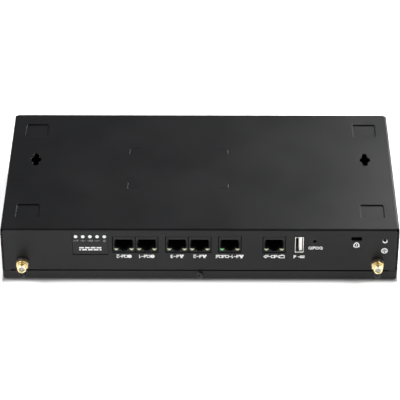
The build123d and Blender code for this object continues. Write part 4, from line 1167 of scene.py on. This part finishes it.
def tonguePieces():
    # a white blade that glows with painted light, standing on a full-width block at the back, painted dark
    # for the shade deep in the socket
    s = shellSizes
    low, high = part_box("usb_tongue")
    x, z = (low.x + high.x) / 2, (low.z + high.z) / 2
    bladeX, wide, tall, corner = x - s["bladeOffset"], s["bladeWidth"], s["bladeHeight"], s["bladeCorner"]
    blockFace = high.y - s["blockDepth"]
    blade = Shape()
    blade.rings([roundedRect(bladeX, z, wide - 0.4 * mm, tall - 0.5 * mm, 0.2 * mm, low.y, 2),
                 roundedRect(bladeX, z, wide, tall, corner, low.y + 0.4 * mm, 2),
                 roundedRect(bladeX, z, wide, tall, corner, blockFace + 0.2 * mm, 2)])
    block = Shape()
    block.rings([roundedRect(x, z, high.x - low.x, high.z - low.z, corner, y, 2)
                 for y in (blockFace, high.y)])
    return blade.piece("serial_tongue", "tongue_white_painted_light"), block.piece("serial_block", "black_plastic")


for shellPart in shellPieces():
    settle(shellPart, "case", "bright_nickel", "usb_shell")
for tonguePart in tonguePieces():
    settle(tonguePart, "case", "white_plastic", "usb_tongue")
print("serial socket built")


# floor, light and camera

stageSizes = {
    "reach": 4.0, "holeInset": 3.0 * mm, "gap": 0.25 * mm, "drop": 0.2 * mm, "colour": (0.93, 0.93, 0.93),
    "colourTwo": (0.91605, 0.91605, 0.91605), "roughness": 0.6, "glow": 0.35, "glowBelow": 0.68,
    "paintedShadowStart": -2.4 * mm, "paintedShadowWidth": 6.2 * mm, "paintedShadowColour": (0.03, 0.03, 0.03),
    "paintedShadowSteepness": (4.0, 1.0, 1.0), "world": 0.12, "worldColour": (0.92, 0.96, 1.0, 1.0),
    "backdrop": 0.87,
}


def hideFrom(piece, *kinds):
    for kind in kinds:
        setattr(piece, "visible_" + kind, False)


def paintedContactShadow(tree, coordinates, low, high):
    # painted contact shadow: 0 beside the rectangle, 1 from the fade's width on
    half = (high - low) / 2
    spot = vectorNode(tree, "SUBTRACT", coordinates, (low + high) / 2)["Vector"]
    spot = vectorNode(tree, "ABSOLUTE", spot)["Vector"]
    spot = vectorNode(tree, "SUBTRACT", spot, (half.x, half.y, 10.0))["Vector"]
    spot = vectorNode(tree, "MAXIMUM", spot, (0.0, 0.0, 0.0))["Vector"]
    spot = vectorNode(tree, "MULTIPLY", spot, stageSizes["paintedShadowSteepness"])["Vector"]
    fade = tree.nodes.new("ShaderNodeMapRange")
    fade.interpolation_type = "SMOOTHSTEP"
    tree.links.new(vectorNode(tree, "LENGTH", spot)["Value"], fade.inputs["Value"])
    fade.inputs["From Min"].default_value = stageSizes["paintedShadowStart"]
    fade.inputs["From Max"].default_value = stageSizes["paintedShadowWidth"]
    return fade.outputs["Result"]


def floorMaterial(name, glow, low, high):
    # seen from its front only, clear from behind; its colour holds a painted contact shadow round the unit
    material = bpy.data.materials.new(name)
    material.use_nodes = True
    tree = material.node_tree
    shader = tree.nodes["Principled BSDF"]
    coordinates = tree.nodes.new("ShaderNodeTexCoord").outputs["Object"]
    grain = placeGroup(tree, grainGroup, coordinates, Pebble_scale=30.0, Blotch_scale=1.5)
    base = mixColour(tree, grain["Blotches"], stageSizes["colour"], stageSizes["colourTwo"])
    # painted contact shadow: the floor's colour goes dark towards the unit's footprint
    base = mixColour(tree, paintedContactShadow(tree, coordinates, low, high), stageSizes["paintedShadowColour"], base)
    tree.links.new(base, shader.inputs["Base Color"])
    tree.links.new(base, shader.inputs["Emission Color"])
    shader.inputs["Emission Strength"].default_value = glow
    shader.inputs["Roughness"].default_value = stageSizes["roughness"]
    shader.inputs["Specular IOR Level"].default_value = 0.0
    clear = tree.nodes.new("ShaderNodeBsdfTransparent")
    facing = tree.nodes.new("ShaderNodeNewGeometry")
    mix = tree.nodes.new("ShaderNodeMixShader")
    tree.links.new(facing.outputs["Backfacing"], mix.inputs[0])
    tree.links.new(shader.outputs[0], mix.inputs[1])
    tree.links.new(clear.outputs[0], mix.inputs[2])
    tree.links.new(mix.outputs[0], tree.nodes["Material Output"].inputs["Surface"])
    return material


def corners(lowX, lowY, highX, highY, z):
    return [(lowX, lowY, z), (highX, lowY, z), (highX, highY, z), (lowX, highY, z)]


def stagePlane(name, z, faceUp, hole, material):
    reach = stageSizes["reach"]
    shape = Shape()
    rim = shape.add(corners(-reach, -reach, reach, reach, z))
    if hole:
        shape.bridge(rim, shape.add(corners(*hole, z)))
    else:
        shape.cap(rim)
    mesh = bpy.data.meshes.new(name)
    mesh.from_pydata([tuple(p) for p in shape.points], [], shape.faces)
    if (mesh.polygons[0].normal.z > 0) != faceUp:
        mesh.flip_normals()
    mesh.materials.append(material)
    piece = bpy.data.objects.new(name, mesh)
    bpy.context.scene.collection.objects.link(piece)
    return piece


inset = stageSizes["holeInset"]
lidHole = (lidLow.x + inset, lidLow.y + inset, lidHigh.x - inset, lidHigh.y - inset)
ground = floorMaterial("floor_paper", stageSizes["glow"], lidLow, lidHigh)
groundBelow = floorMaterial("floor_paper_below", stageSizes["glowBelow"], trayLow, trayHigh)
floorBelow = stagePlane("floor_below", -stageSizes["drop"], True, None, groundBelow)
hideFrom(floorBelow, "glossy", "diffuse", "shadow", "transmission")
floorUnderLid = stagePlane("floor_under_lid", cadHigh.z + stageSizes["gap"], False, lidHole, ground)
hideFrom(floorUnderLid, "diffuse", "shadow", "transmission")

world = bpy.data.worlds.new("room")
bpy.context.scene.world = world
world.use_nodes = True
worldTree = world.node_tree
room = worldTree.nodes["Background"]
room.inputs["Color"].default_value = stageSizes["worldColour"]
room.inputs["Strength"].default_value = stageSizes["world"]
# a pale backdrop past the floor's edge, for the camera only
backdrop = worldTree.nodes.new("ShaderNodeBackground")
backdrop.inputs["Color"].default_value = (1.0, 1.0, 1.0, 1.0)
backdrop.inputs["Strength"].default_value = stageSizes["backdrop"]
seen = worldTree.nodes.new("ShaderNodeLightPath")
either = worldTree.nodes.new("ShaderNodeMixShader")
for i, socket in enumerate((seen.outputs["Is Camera Ray"], room.outputs[0], backdrop.outputs[0])):
    worldTree.links.new(socket, either.inputs[i])
worldTree.links.new(either.outputs[0], worldTree.nodes["World Output"].inputs["Surface"])

# the first three stand behind and below the unit, where the bottom plate mirrors them; the last two are
# for the views from above. Each row: spot, width, height, watts
softboxes = {
    "behind_soft": ((-1.15, 1.85, -1.6), 1.2, 0.9, 80.0),
    "left_soft": ((2.0, -0.3, -1.5), 1.2, 1.2, 60.0),
    "right_soft": ((-2.0, -0.3, -1.5), 1.2, 1.2, 60.0),
    "top_soft": ((0.5, -0.8, 2.2), 1.6, 1.6, 60.0),
    "top_back_soft": ((-0.9, 1.9, 1.4), 2.4, 1.8, 38.0),
}
for name, (spot, width, height, power) in softboxes.items():
    lamp = bpy.data.lights.new(name, "AREA")
    lamp.shape = "RECTANGLE"
    lamp.size, lamp.size_y, lamp.energy = width, height, power
    holder = bpy.data.objects.new(name, lamp)
    holder.location = spot
    holder.rotation_euler = ((cadLow + cadHigh) / 2 - Vector(spot)).to_track_quat("-Z", "Y").to_euler()
    holder.visible_camera = False
    bpy.context.scene.collection.objects.link(holder)

# in front of and below the part, rolled half a turn: the unit lies on its lid
cameraSizes = {"lens": 194.294, "sensor": 36.0, "spot": (-0.006399, -1.297145, -0.887047),
               "elevation": 0.613784, "yaw": 0.005113, "roll": -0.000711}
lens = bpy.data.cameras.new("camera")
lens.lens = cameraSizes["lens"]
lens.sensor_width = cameraSizes["sensor"]
camera = bpy.data.objects.new("camera", lens)
level, turned = math.cos(cameraSizes["elevation"]), math.cos(cameraSizes["roll"])
lean = math.sin(cameraSizes["roll"])
ahead = Vector((math.sin(cameraSizes["yaw"]) * level, math.cos(cameraSizes["yaw"]) * level,
                math.sin(cameraSizes["elevation"])))
ahead.normalize()
right = ahead.cross(Vector((0.0, 0.0, -1.0))).normalized()
rise = right.cross(ahead)
right, rise = right * turned + rise * lean, rise * turned - right * lean
axes = Matrix((right, rise, -ahead)).transposed()
camera.matrix_world = Matrix.Translation(cameraSizes["spot"]) @ axes.to_4x4()
bpy.context.scene.collection.objects.link(camera)
bpy.context.scene.camera = camera
bpy.context.scene.view_settings.view_transform = "Standard"
print("stage, lights and camera set")
